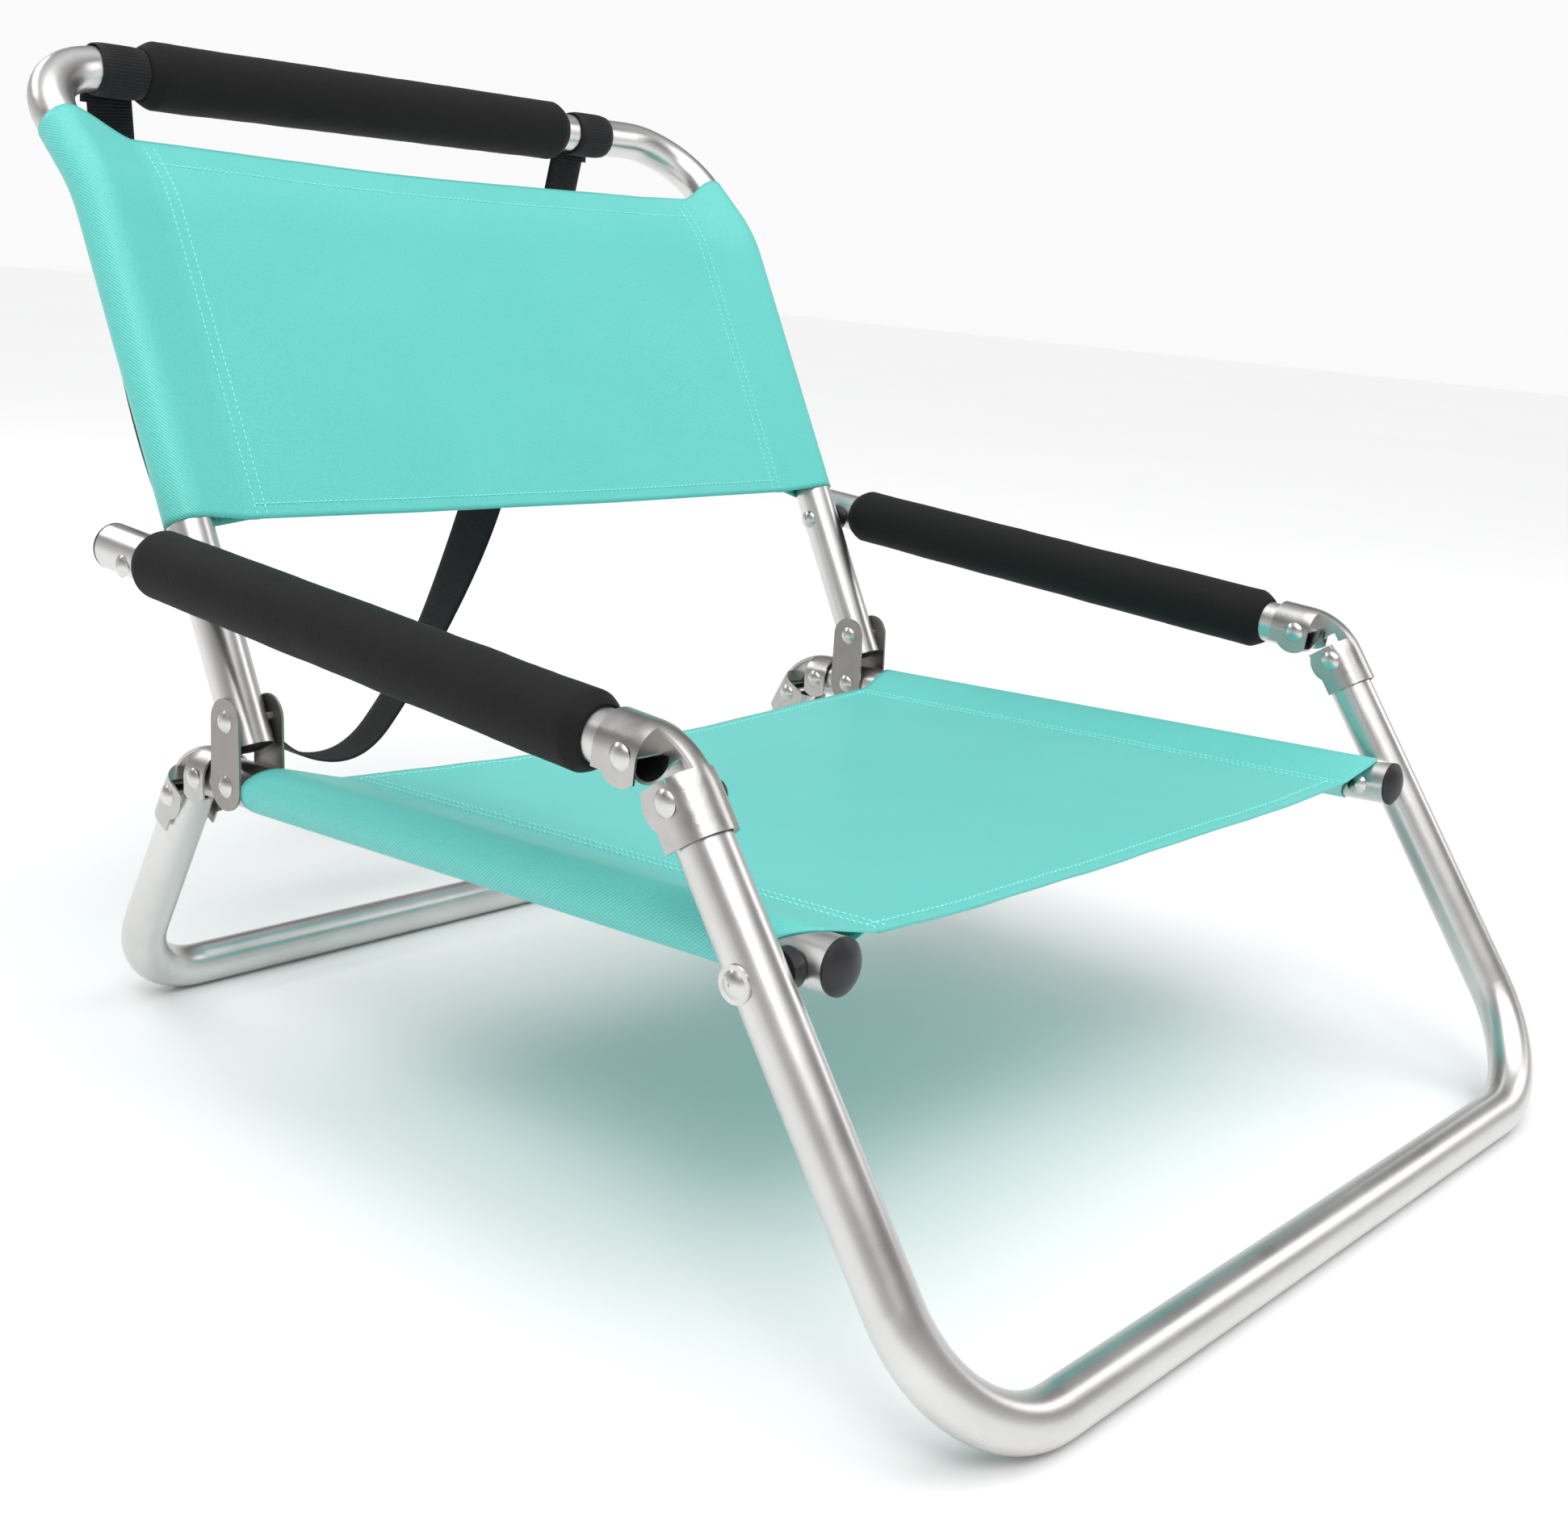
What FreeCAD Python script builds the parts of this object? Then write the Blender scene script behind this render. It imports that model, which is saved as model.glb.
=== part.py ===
"""Folding camp chair: tube frame, double-hinged knuckles, cloth slings, foam grips and a carry strap.

The frame is drawn in side view, in (y, z): y is 0 at the axis of the front floor bar and grows to the
rear, z is 0 on the floor. CENTRE_Y moves the finished pieces so that the origin lies under the middle
of the chair. Every piece that bends or turns is built at its open, ready-to-sit position.
"""
import FreeCAD, Part
import math
import os
import Sketcher

from FreeCAD import Placement, Rotation, Vector

DIMENSIONS = {
    # tubes
    "tube_diameter": 25.0,
    "tube_wall": 1.4,
    "seat_plane": 257.5,        # |x| of the seat, back and rear leg tubes
    "arm_plane": 290.0,         # |x| of the arm and front leg tubes
    "end_past_rivet": 4.5,      # tube left beyond a knuckle rivet
    # seat side tubes
    "seat_front_y": 104.2,
    "seat_front_z": 178.7,
    "seat_slope": 2.65,         # down towards the rear
    # front legs
    "front_leg_slope": 54.24,
    "front_leg_bend": 65.0,
    # rear legs
    "rear_bar_y": 631.2,
    "rear_leg_bend": 48.0,
    # backrest
    "back_low_y": 509.0,
    "back_low_z": 180.4,
    "back_slope": 62.0,
    "back_straight": 319.0,
    "back_sweep": 21.0,         # the top of the back leans this much further to the rear
    "back_top": 97.5,
    "back_sweep_bend": 90.0,
    "rail_bend": 48.0,
    # arms
    "arm_corner_y": 172.7,      # where the axes of the arm and the front leg meet
    "arm_corner_z": 252.3,
    "arm_slope": 3.5,
    "arm_rear_y": 585.4,
    # pivots, in side view
    "leg_pivot_y": 119.7,
    "leg_pivot_z": 176.8,
    "back_pivot_y": 512.7,
    "back_pivot_z": 195.3,
    "bracket_rivet_y": 511.5,
    "bracket_rivet_z": 160.5,
    "arm_pivot_y": 559.3,
    "arm_pivot_z": 272.0,
    "arm_knuckle_y": 188.1,
    "arm_knuckle_z": 253.6,
    "leg_knuckle_y": 161.6,
    "leg_knuckle_z": 240.4,
    "seat_knuckle_y": 539.5,
    "seat_knuckle_z": 158.6,
    "rear_knuckle_y": 564.4,
    "rear_knuckle_z": 143.1,
    # rivets, washers and spacers
    "rivet_radius": 2.5,
    "rivet_fit": 0.05,          # radial clearance of a turning hole
    "rivet_head": 6.0,
    "rivet_dome": 2.6,
    "loose_hole": 3.5,          # hole of the front leg at its knuckle
    "washer_radius": 8.2,
    "washer_thickness": 1.2,
    "spacer_radius": 9.0,
    "spacer_gap": 0.3,
    # pivot brackets
    "bracket_inside": 12.7,
    "bracket_thickness": 1.4,
    "bracket_top_radius": 12.4,
    "bracket_low_radius": 13.0,
    # knuckles
    "knuckle_inside": 14.1,
    "knuckle_wall": 1.2,
    "knuckle_cheek": 8.0,
    "knuckle_lobe": 13.0,
    "knuckle_end_face": 9.0,    # from a rivet to the recess at the corner
    "knuckle_web": 2.4,
    "knuckle_rim_width": 9.0,
    "knuckle_rim_depth": 2.5,
    "knuckle_nose": 5.2,        # bore beyond a rivet, towards the corner
    "swing_lift": 2.6,          # swing room beyond a tube's axis, on the outer side
    "leg_swing_room": 16.2,     # radius kept free for the corner of the front leg tube
    "leg_swing_lift": 5.8,
    "front_knuckle_bend": 30.0,
    "front_sleeve_arm": 16.0,   # sleeve beyond the rivet, on the arm
    "front_sleeve_leg": 18.6,
    "rear_knuckle_bend": 26.0,
    "rear_sleeve_seat": 9.0,
    "rear_sleeve_leg": 18.6,
    # plugs
    "plug_fit": 0.05,
    "plug_length": 10.5,
    "plug_rim": 1.4,
    "plug_dome": 4.6,
    "low_plug_dome": 2.1,
    # foam grips
    "foam_fit": 0.05,
    "arm_foam_radius": 18.4,
    "arm_foam_front": 214.0,
    "arm_foam_rear": 548.0,
    "rail_foam_radius": 19.5,
    "rail_foam_left": -186.0,
    "rail_foam_right": 142.0,
    "foam_chamfer": 4.0,
    "foam_chamfer_length": 8.0,
    # cloth
    "cloth_thickness": 0.8,
    "cloth_fit": 0.1,
    "web_offset": 7.0,          # the sitting face lies this far above the tube axes
    "back_cloth_low": 124.5,    # along the back tube, from its lower end
    "back_cloth_top": 27.0,     # beyond the sweep
    "seat_sleeve_front": 138.0,
    "seat_cloth_front": 118.0,
    "seat_cloth_rear": 498.0,
    "seat_cloth_middle": 468.0,
    # carry strap
    "webbing_width": 29.0,
    "webbing_thickness": 1.6,
    "loop_fit": 0.5,
    "loop_left": -201.0,
    "loop_right": 169.5,
    "loop_tail": 14.0,
    "strap_diameter": 8.0,      # round section with the area of the flat webbing
}

DOC = FreeCAD.newDocument("FoldingCampChair")
SHEET = DOC.addObject("Spreadsheet::Sheet", "Dimensions")
PIECES = []
HALF = 0.5
FULL_TURN = 360.0


class Size:
    """A length, angle or ratio together with the spreadsheet formula that gives it."""

    def __init__(self, value, text):
        self.value = value
        self.text = text

    def __add__(self, other):
        other = as_size(other)
        return Size(self.value + other.value, f"({self.text} + {other.text})")

    def __sub__(self, other):
        other = as_size(other)
        return Size(self.value - other.value, f"({self.text} - {other.text})")

    def __mul__(self, other):
        other = as_size(other)
        return Size(self.value * other.value, f"({self.text} * {other.text})")

    def __truediv__(self, other):
        other = as_size(other)
        return Size(self.value / other.value, f"({self.text} / {other.text})")

    def __neg__(self):
        return Size(-self.value, f"(0 - {self.text})")

    def __float__(self):
        return float(self.value)


def as_size(item):
    """Wrap a plain number, and leave a Size as it is."""
    return item if isinstance(item, Size) else Size(float(item), repr(float(item)))


def cosine(angle):
    """Cosine of an angle in degrees."""
    return Size(math.cos(math.radians(angle.value)), f"cos({angle.text})")


def sine(angle):
    """Sine of an angle in degrees."""
    return Size(math.sin(math.radians(angle.value)), f"sin({angle.text})")


def fill_sheet():
    """Write the driving dimensions into the sheet and return them as Sizes."""
    sizes = {}
    for row, (alias, value) in enumerate(DIMENSIONS.items(), start=1):
        SHEET.set(f"A{row}", alias)
        SHEET.set(f"B{row}", str(value))
        SHEET.setAlias(f"B{row}", alias)
        sizes[alias] = Size(value, f"Dimensions.{alias}")
    DOC.recompute()
    return sizes


D = fill_sheet()
TUBE_RADIUS = D["tube_diameter"] / 2
BORE_RADIUS = TUBE_RADIUS - D["tube_wall"]
HOLE_RADIUS = D["rivet_radius"] + D["rivet_fit"]
FLOOR_BAR_Z = TUBE_RADIUS
SLEEVE_INSIDE = float(TUBE_RADIUS + D["cloth_fit"])
SLEEVE_OUTSIDE = SLEEVE_INSIDE + float(D["cloth_thickness"])


# ---------------------------------------------------------------- side-view geometry

def side_point(name):
    """A named pivot of the side view, as a pair of Sizes."""
    return D[f"{name}_y"], D[f"{name}_z"]


def flat(point):
    """The same point as a vector in the x = 0 plane."""
    return Vector(0, float(point[0]), float(point[1]))


def heading(angle):
    """Unit vector of the side view at an angle above +Y."""
    radians = math.radians(float(angle))
    return Vector(0, math.cos(radians), math.sin(radians))


def crossing(first, first_direction, second, second_direction):
    """Where two lines of the side view meet."""
    gap = second - first
    turn = first_direction.cross(second_direction).x
    return first + first_direction * (gap.cross(second_direction).x / turn)


SEAT_FRONT = flat(side_point("seat_front"))
SEAT_HEADING = heading(-D["seat_slope"])
FRONT_FOOT = Vector(0, 0, float(FLOOR_BAR_Z))
REAR_FOOT = Vector(0, float(D["rear_bar_y"]), float(FLOOR_BAR_Z))
REAR_KNUCKLE = flat(side_point("rear_knuckle"))
REAR_LEG_ANGLE = math.degrees(math.atan2(REAR_KNUCKLE.z - REAR_FOOT.z, REAR_KNUCKLE.y - REAR_FOOT.y))
BACK_LOW = flat(side_point("back_low"))
BACK_BEND = BACK_LOW + heading(D["back_slope"]) * float(D["back_straight"])
TOP_ANGLE = D["back_slope"] - D["back_sweep"]
RAIL = BACK_BEND + heading(TOP_ANGLE) * float(D["back_top"])
ARM_CORNER = flat(side_point("arm_corner"))
ARM_HEADING = heading(D["arm_slope"])
CENTRE_Y = (RAIL.y + float(D["rail_foam_radius"]) - float(TUBE_RADIUS)) / 2


def along(point, start, direction):
    """Distance of a point along a line that starts at start."""
    return (point - start).dot(direction)


def stand(piece, x=0.0, origin=None, rotation=None):
    """Place a piece: its own origin goes to a point of the side view at the given x."""
    origin = origin or Vector(0, 0, 0)
    base = Vector(x, origin.y - CENTRE_Y, origin.z)
    piece.Placement = Placement(base, rotation or Rotation())


def pitched(angle):
    """Turn about X that lays a piece's own Z axis along an angle above +Y."""
    return Rotation(Vector(1, 0, 0), float(angle) - 90)


ACROSS = Rotation(Vector(0, 1, 0), 90)
ACROSS_BACK = Rotation(Vector(0, 1, 0), -90)


# ---------------------------------------------------------------- sketches and features

def new_body(label):
    """An empty body whose label names its file."""
    body = DOC.addObject("PartDesign::Body", label)
    body.Label = label
    return body


def keep(piece):
    """Hand a finished piece in as a node of its own."""
    PIECES.append(piece)
    return piece


def new_sketch(body, role, offset=None):
    """A sketch on one of the body's own origin planes, moved along its normal by offset."""
    sketch = body.newObject("Sketcher::SketchObject", f"{body.Name}_outline")
    plane = next(item for item in body.Origin.OriginFeatures if item.Role == role)
    sketch.AttachmentSupport = [(plane, "")]
    sketch.MapMode = "FlatFace"
    if offset is not None:
        sketch.AttachmentOffset = Placement(Vector(0, 0, offset.value), Rotation())
        sketch.setExpression("AttachmentOffset.Base.z", offset.text)
    return sketch


def bind(sketch, size, *constraint):
    """Add a dimension to a sketch and bind it to the sheet."""
    index = sketch.addConstraint(Sketcher.Constraint(*constraint, size.value))
    sketch.setExpression(f"Constraints[{index}]", size.text)


def pin(sketch, geometry, end, u, v):
    """Fix one point of a sketch at (u, v)."""
    for size, kind, axis in ((as_size(u), "DistanceX", -2), (as_size(v), "DistanceY", -1)):
        if size.value == 0:
            sketch.addConstraint(Sketcher.Constraint("PointOnObject", geometry, end, axis))
        else:
            bind(sketch, size, kind, -1, 1, geometry, end)


def add_circle(sketch, u, v, radius):
    """A circle with its centre and radius bound to the sheet."""
    u, v, radius = as_size(u), as_size(v), as_size(radius)
    circle = Part.Circle(Vector(u.value, v.value, 0), Vector(0, 0, 1), radius.value)
    index = sketch.addGeometry(circle)
    bind(sketch, radius, "Radius", index)
    pin(sketch, index, 3, u, v)


def add_outline(sketch, corners):
    """A closed outline. A corner is (u, v), or (u, v, rise) when a crown arc leads away from it."""
    points = [Vector(float(corner[0]), float(corner[1]), 0) for corner in corners]
    ends = []
    for index, corner in enumerate(corners):
        start = points[index]
        finish = points[(index + 1) % len(points)]
        if len(corner) == 3:
            chord = finish - start
            normal = Vector(chord.y, -chord.x, 0).normalize()
            middle = (start + finish) / 2 + normal * float(corner[2])
            number = sketch.addGeometry(Part.Arc(start, middle, finish))
            radius = sketch.Geometry[number].Radius
            sketch.addConstraint(Sketcher.Constraint("Radius", number, radius))
        else:
            number = sketch.addGeometry(Part.LineSegment(start, finish))
        forwards = sketch.getPoint(number, 1).distanceToPoint(start) < 1e-6
        ends.append((number, 1, 2) if forwards else (number, 2, 1))
    for index, (number, _, last) in enumerate(ends):
        following, first, _ = ends[(index + 1) % len(ends)]
        sketch.addConstraint(Sketcher.Constraint("Coincident", number, last, following, first))
    for (number, first, _), corner in zip(ends, corners):
        pin(sketch, number, first, corner[0], corner[1])


def pad(body, sketch, length, middle=False):
    """Extrude a sketch."""
    feature = body.newObject("PartDesign::Pad", f"{body.Name}_pad")
    feature.Profile = sketch
    feature.Length = length.value
    feature.setExpression("Length", length.text)
    feature.Midplane = middle
    return feature


def drill_across(body, holes, reach):
    """Cut round holes along the piece's own X axis, each (y, z, radius)."""
    DOC.recompute()
    before = body.Shape.Volume
    sketch = new_sketch(body, "YZ_Plane")
    for y, z, radius in holes:
        add_circle(sketch, y, z, radius)
    feature = body.newObject("PartDesign::Pocket", f"{body.Name}_holes")
    feature.Profile = sketch
    feature.Length = reach.value
    feature.setExpression("Length", reach.text)
    feature.Midplane = True
    DOC.recompute()
    if not body.Shape.Volume < before:
        raise RuntimeError(f"the holes of {body.Label} cut nothing")


def turned(label, outline):
    """A turned piece: its half outline in (radius, z), spun about its own Z axis."""
    body = new_body(label)
    sketch = new_sketch(body, "XZ_Plane")
    add_outline(sketch, outline)
    feature = body.newObject("PartDesign::Revolution", f"{label}_turned")
    feature.Profile = sketch
    feature.ReferenceAxis = (sketch, ["V_Axis"])
    feature.Angle = FULL_TURN
    return body


def group(label, members):
    """One node that holds several identical loose solids."""
    compound = DOC.addObject("Part::Compound", label)
    compound.Label = label
    compound.Links = members
    return keep(compound)


def shaped(label, shape):
    """A piece whose shape has been worked out with the solid functions."""
    feature = DOC.addObject("Part::Feature", label)
    feature.Label = label
    feature.Shape = shape
    return feature


def local_place(point, start, angle):
    """(y, z) of a side-view point in the frame of a tube that starts at start and runs at an angle.

    The tube's own Z axis runs along it and its own Y axis points to its right-hand side.
    """
    step_y = point[0] - start[0]
    step_z = point[1] - start[1]
    sideways = step_y * sine(angle) - step_z * cosine(angle)
    onwards = step_y * cosine(angle) + step_z * sine(angle)
    return sideways, onwards


# ---------------------------------------------------------------- bent paths

def rounded_path(points, radii):
    """Straight runs through points, joined by tangent arcs of the given radii."""
    edges = []
    last = points[0]
    for before, corner, after, radius in zip(points, points[1:], points[2:], radii):
        inward = (corner - before).normalize()
        outward = (after - corner).normalize()
        turn = inward.getAngle(outward)
        setback = radius * math.tan(turn / 2)
        first = corner - inward * setback
        second = corner + outward * setback
        bulge = (outward - inward).normalize() * (radius / math.cos(turn / 2) - radius)
        edges.append(Part.LineSegment(last, first).toShape())
        edges.append(Part.Arc(first, corner + bulge, second).toShape())
        last = second
    edges.append(Part.LineSegment(last, points[-1]).toShape())
    return Part.Wire(edges)


def swept(path, radius):
    """A solid round bar along a path."""
    start = path.Edges[0]
    direction = start.tangentAt(start.FirstParameter)
    disc = Part.Face(Part.Wire(Part.makeCircle(radius, start.valueAt(start.FirstParameter), direction)))
    return path.makePipe(disc)


def at_x(x, point):
    """A side-view point moved sideways."""
    return Vector(x, point.y, point.z)


# ---------------------------------------------------------------- frame tubes

def straight_tube(label, x, start, angle, length, pivots):
    """A straight tube with cross holes at the given side-view pivots."""
    body = new_body(label)
    sketch = new_sketch(body, "XY_Plane")
    add_circle(sketch, 0, 0, TUBE_RADIUS)
    add_circle(sketch, 0, 0, BORE_RADIUS)
    pad(body, sketch, length)
    holes = [(*local_place(pivot, start, angle), HOLE_RADIUS) for pivot in pivots]
    drill_across(body, holes, D["tube_diameter"] * 2)
    stand(body, x, flat(start), pitched(angle))
    return keep(body)


def leg_frame(label, half_width, bend, foot, angle, length, hole, hole_radius, more_holes=()):
    """Two legs and their floor bar bent from one tube; its own Y axis runs up the legs."""
    body = new_body(label)
    path = new_sketch(body, "XY_Plane")
    wide = half_width.value
    small = bend.value
    tall = length.value
    diagonal = small * (1 - math.sqrt(HALF))
    corners = [Vector(-wide, tall, 0), Vector(-wide, small, 0), Vector(small - wide, 0, 0),
               Vector(wide - small, 0, 0), Vector(wide, small, 0), Vector(wide, tall, 0)]
    path.addGeometry(Part.LineSegment(corners[0], corners[1]))
    path.addGeometry(Part.Arc(corners[1], Vector(diagonal - wide, diagonal, 0), corners[2]))
    path.addGeometry(Part.LineSegment(corners[2], corners[3]))
    path.addGeometry(Part.Arc(corners[3], Vector(wide - diagonal, diagonal, 0), corners[4]))
    path.addGeometry(Part.LineSegment(corners[4], corners[5]))
    ends = []
    for number in range(5):
        ends.append((number, 1) if path.getPoint(number, 1).distanceToPoint(corners[number]) < 1e-6
                    else (number, 2))
    for number in range(4):
        leaving = (number, 3 - ends[number][1])
        path.addConstraint(Sketcher.Constraint("Coincident", *leaving, *ends[number + 1]))
    places = [(-half_width, length), (-half_width, bend), (bend - half_width, 0),
              (half_width - bend, 0), (half_width, bend)]
    for (number, end), (u, v) in zip(ends, places):
        pin(path, number, end, u, v)
    pin(path, 4, 3 - ends[4][1], half_width, length)
    for number in (1, 3):
        bind(path, bend, "Radius", number)
    section = new_sketch(body, "XZ_Plane", -length)
    add_circle(section, -half_width, 0, TUBE_RADIUS)
    add_circle(section, -half_width, 0, BORE_RADIUS)
    pipe = body.newObject("PartDesign::AdditivePipe", f"{label}_bent")
    pipe.Profile = section
    pipe.Spine = (path, [f"Edge{number}" for number in range(1, 6)])
    holes = []
    for pivot, radius in ((hole, hole_radius), *more_holes):
        sideways, onwards = local_place(pivot, foot, angle)
        holes.append((onwards, -sideways, radius))
    drill_across(body, holes, (half_width + D["tube_diameter"]) * 2)
    stand(body, 0, flat(foot), Rotation(Vector(1, 0, 0), angle.value))
    return keep(body)


def back_frame():
    """The hoop of the backrest: two uprights swept to the rear at the top, and the top rail."""
    side = float(D["seat_plane"])
    sweep_bend = float(D["back_sweep_bend"])
    rail_bend = float(D["rail_bend"])
    points = [at_x(-side, BACK_LOW), at_x(-side, BACK_BEND), at_x(-side, RAIL),
              at_x(side, RAIL), at_x(side, BACK_BEND), at_x(side, BACK_LOW)]
    path = rounded_path(points, [sweep_bend, rail_bend, rail_bend, sweep_bend])
    tube = swept(path, float(TUBE_RADIUS)).cut(swept(path, float(BORE_RADIUS)))
    for pivot in ("back_pivot", "arm_pivot"):
        centre = at_x(-side - float(TUBE_RADIUS) * 2, flat(side_point(pivot)))
        reach = 2 * side + 4 * float(TUBE_RADIUS)
        tube = tube.cut(Part.makeCylinder(float(HOLE_RADIUS), reach, centre, Vector(1, 0, 0)))
    piece = shaped("back_frame", tube)
    stand(piece)
    return keep(piece)


def make_frame_tubes():
    """Seat tubes, arm tubes, both leg frames and the back hoop."""
    seat_angle = -D["seat_slope"]
    seat_knuckle = flat(side_point("seat_knuckle"))
    seat_length = as_size(along(seat_knuckle, SEAT_FRONT, SEAT_HEADING)) + D["end_past_rivet"]
    arm_knuckle = flat(side_point("arm_knuckle"))
    arm_start = ARM_CORNER + ARM_HEADING * (along(arm_knuckle, ARM_CORNER, ARM_HEADING)
                                            - float(D["end_past_rivet"]))
    arm_length = (D["arm_rear_y"] - arm_start.y) / cosine(D["arm_slope"])
    arm_from = (as_size(arm_start.y), as_size(arm_start.z))
    for side, name in ((-1, "left"), (1, "right")):
        straight_tube(f"seat_tube_{name}", side * float(D["seat_plane"]), side_point("seat_front"),
                      seat_angle, seat_length,
                      [side_point(pivot) for pivot in ("leg_pivot", "bracket_rivet", "seat_knuckle")])
        straight_tube(f"arm_tube_{name}", side * float(D["arm_plane"]), arm_from, D["arm_slope"],
                      arm_length, [side_point("arm_knuckle"), side_point("arm_pivot")])
    front_angle = D["front_leg_slope"]
    leg_knuckle = flat(side_point("leg_knuckle"))
    front_length = along(leg_knuckle, FRONT_FOOT, heading(front_angle))
    leg_frame("front_leg_frame", D["arm_plane"], D["front_leg_bend"], (as_size(0), FLOOR_BAR_Z),
              front_angle, as_size(front_length) + D["end_past_rivet"],
              side_point("leg_knuckle"), D["loose_hole"], ((side_point("leg_pivot"), HOLE_RADIUS),))
    rear_angle = as_size(REAR_LEG_ANGLE)
    rear_length = as_size((REAR_KNUCKLE - REAR_FOOT).Length)
    leg_frame("rear_leg_frame", D["seat_plane"], D["rear_leg_bend"], (D["rear_bar_y"], FLOOR_BAR_Z),
              rear_angle, rear_length + D["end_past_rivet"], side_point("rear_knuckle"), HOLE_RADIUS)
    back_frame()


# ---------------------------------------------------------------- rivets, plugs, spacers, brackets

def dome_rise(radius, height):
    """How far a dome's arc stands off its chord when the dome is level at its crown."""
    radius, height = float(radius), float(height)
    ball = (radius ** 2 + height ** 2) / (2 * height)
    return ball - math.sqrt(ball ** 2 - (radius ** 2 + height ** 2) / 4)


def rivet(label, x, pivot, grip):
    """A rivet along X with a domed head at each end of its grip."""
    half = grip / 2
    head = D["rivet_head"]
    shank = D["rivet_radius"]
    dome = D["rivet_dome"]
    rise = dome_rise(head, dome)
    body = turned(label, [(0, -half - dome, rise), (head, -half), (shank, -half), (shank, half),
                          (head, half, rise), (0, half + dome)])
    stand(body, x, flat(side_point(pivot)), ACROSS)
    return body


def ring(label, inside, outside, thickness):
    """A flat ring whose own Z axis is its bore."""
    return turned(label, [(inside, 0), (outside, 0), (outside, thickness), (inside, thickness)])


def plug(label, x, point, angle):
    """A domed plug; its shank sits in the tube and its dome points along the angle."""
    shank = BORE_RADIUS - D["plug_fit"]
    rim = TUBE_RADIUS
    rise = dome_rise(rim, D["plug_dome"])
    body = turned(label, [(0, -D["plug_length"]), (shank, -D["plug_length"]), (shank, 0), (rim, 0),
                          (rim, D["plug_rim"], rise), (0, D["plug_rim"] + D["plug_dome"])])
    stand(body, x, point, pitched(angle))
    return keep(body)


def low_plug(label, x, point, angle):
    """The flatter plug of the back tube's lower end, kept inside the circle that the end swings in."""
    shank = BORE_RADIUS - D["plug_fit"]
    rim = TUBE_RADIUS - D["plug_rim"] / 2
    dome = D["low_plug_dome"]
    body = turned(label, [(0, -D["plug_length"]), (shank, -D["plug_length"]), (shank, 0),
                          (rim, 0, dome_rise(rim, dome)), (0, dome)])
    stand(body, x, point, pitched(angle))
    return keep(body)


def bracket(label, x):
    """A rounded plate that carries the back pivot above the seat tube."""
    body = new_body(label)
    sketch = new_sketch(body, "YZ_Plane")
    top = flat(side_point("back_pivot"))
    low = flat(side_point("bracket_rivet"))
    top_radius = D["bracket_top_radius"]
    low_radius = D["bracket_low_radius"]
    upward = (top - low).normalize()
    lean = math.asin((low_radius.value - top_radius.value) / (top - low).Length)
    arcs = []
    for centre, radius, far in ((top, top_radius, upward), (low, low_radius, -upward)):
        sides = []
        for hand in (-1, 1):
            across = Vector(0, upward.z, -upward.y) * hand
            normal = across * math.cos(lean) + upward * math.sin(lean)
            sides.append(centre + normal * radius.value)
        middle = centre + far * radius.value
        arcs.append([Vector(point.y, point.z, 0) for point in (sides[0], middle, sides[1])])
    for points in arcs:
        sketch.addGeometry(Part.Arc(*points))
    for hand in (0, 2):
        sketch.addGeometry(Part.LineSegment(arcs[0][hand], arcs[1][hand]))
    for line, hand in ((2, 0), (3, 2)):
        for end, arc in ((1, 0), (2, 1)):
            near = 1 if sketch.getPoint(arc, 1).distanceToPoint(arcs[arc][hand]) < 1e-6 else 2
            sketch.addConstraint(Sketcher.Constraint("Tangent", line, end, arc, near))
    for number, name, radius in ((0, "back_pivot", top_radius), (1, "bracket_rivet", low_radius)):
        pin(sketch, number, 3, *side_point(name))
        bind(sketch, radius, "Radius", number)
    for name in ("back_pivot", "bracket_rivet"):
        add_circle(sketch, *side_point(name), HOLE_RADIUS)
    pad(body, sketch, D["bracket_thickness"])
    stand(body, x)
    return keep(body)


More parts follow.
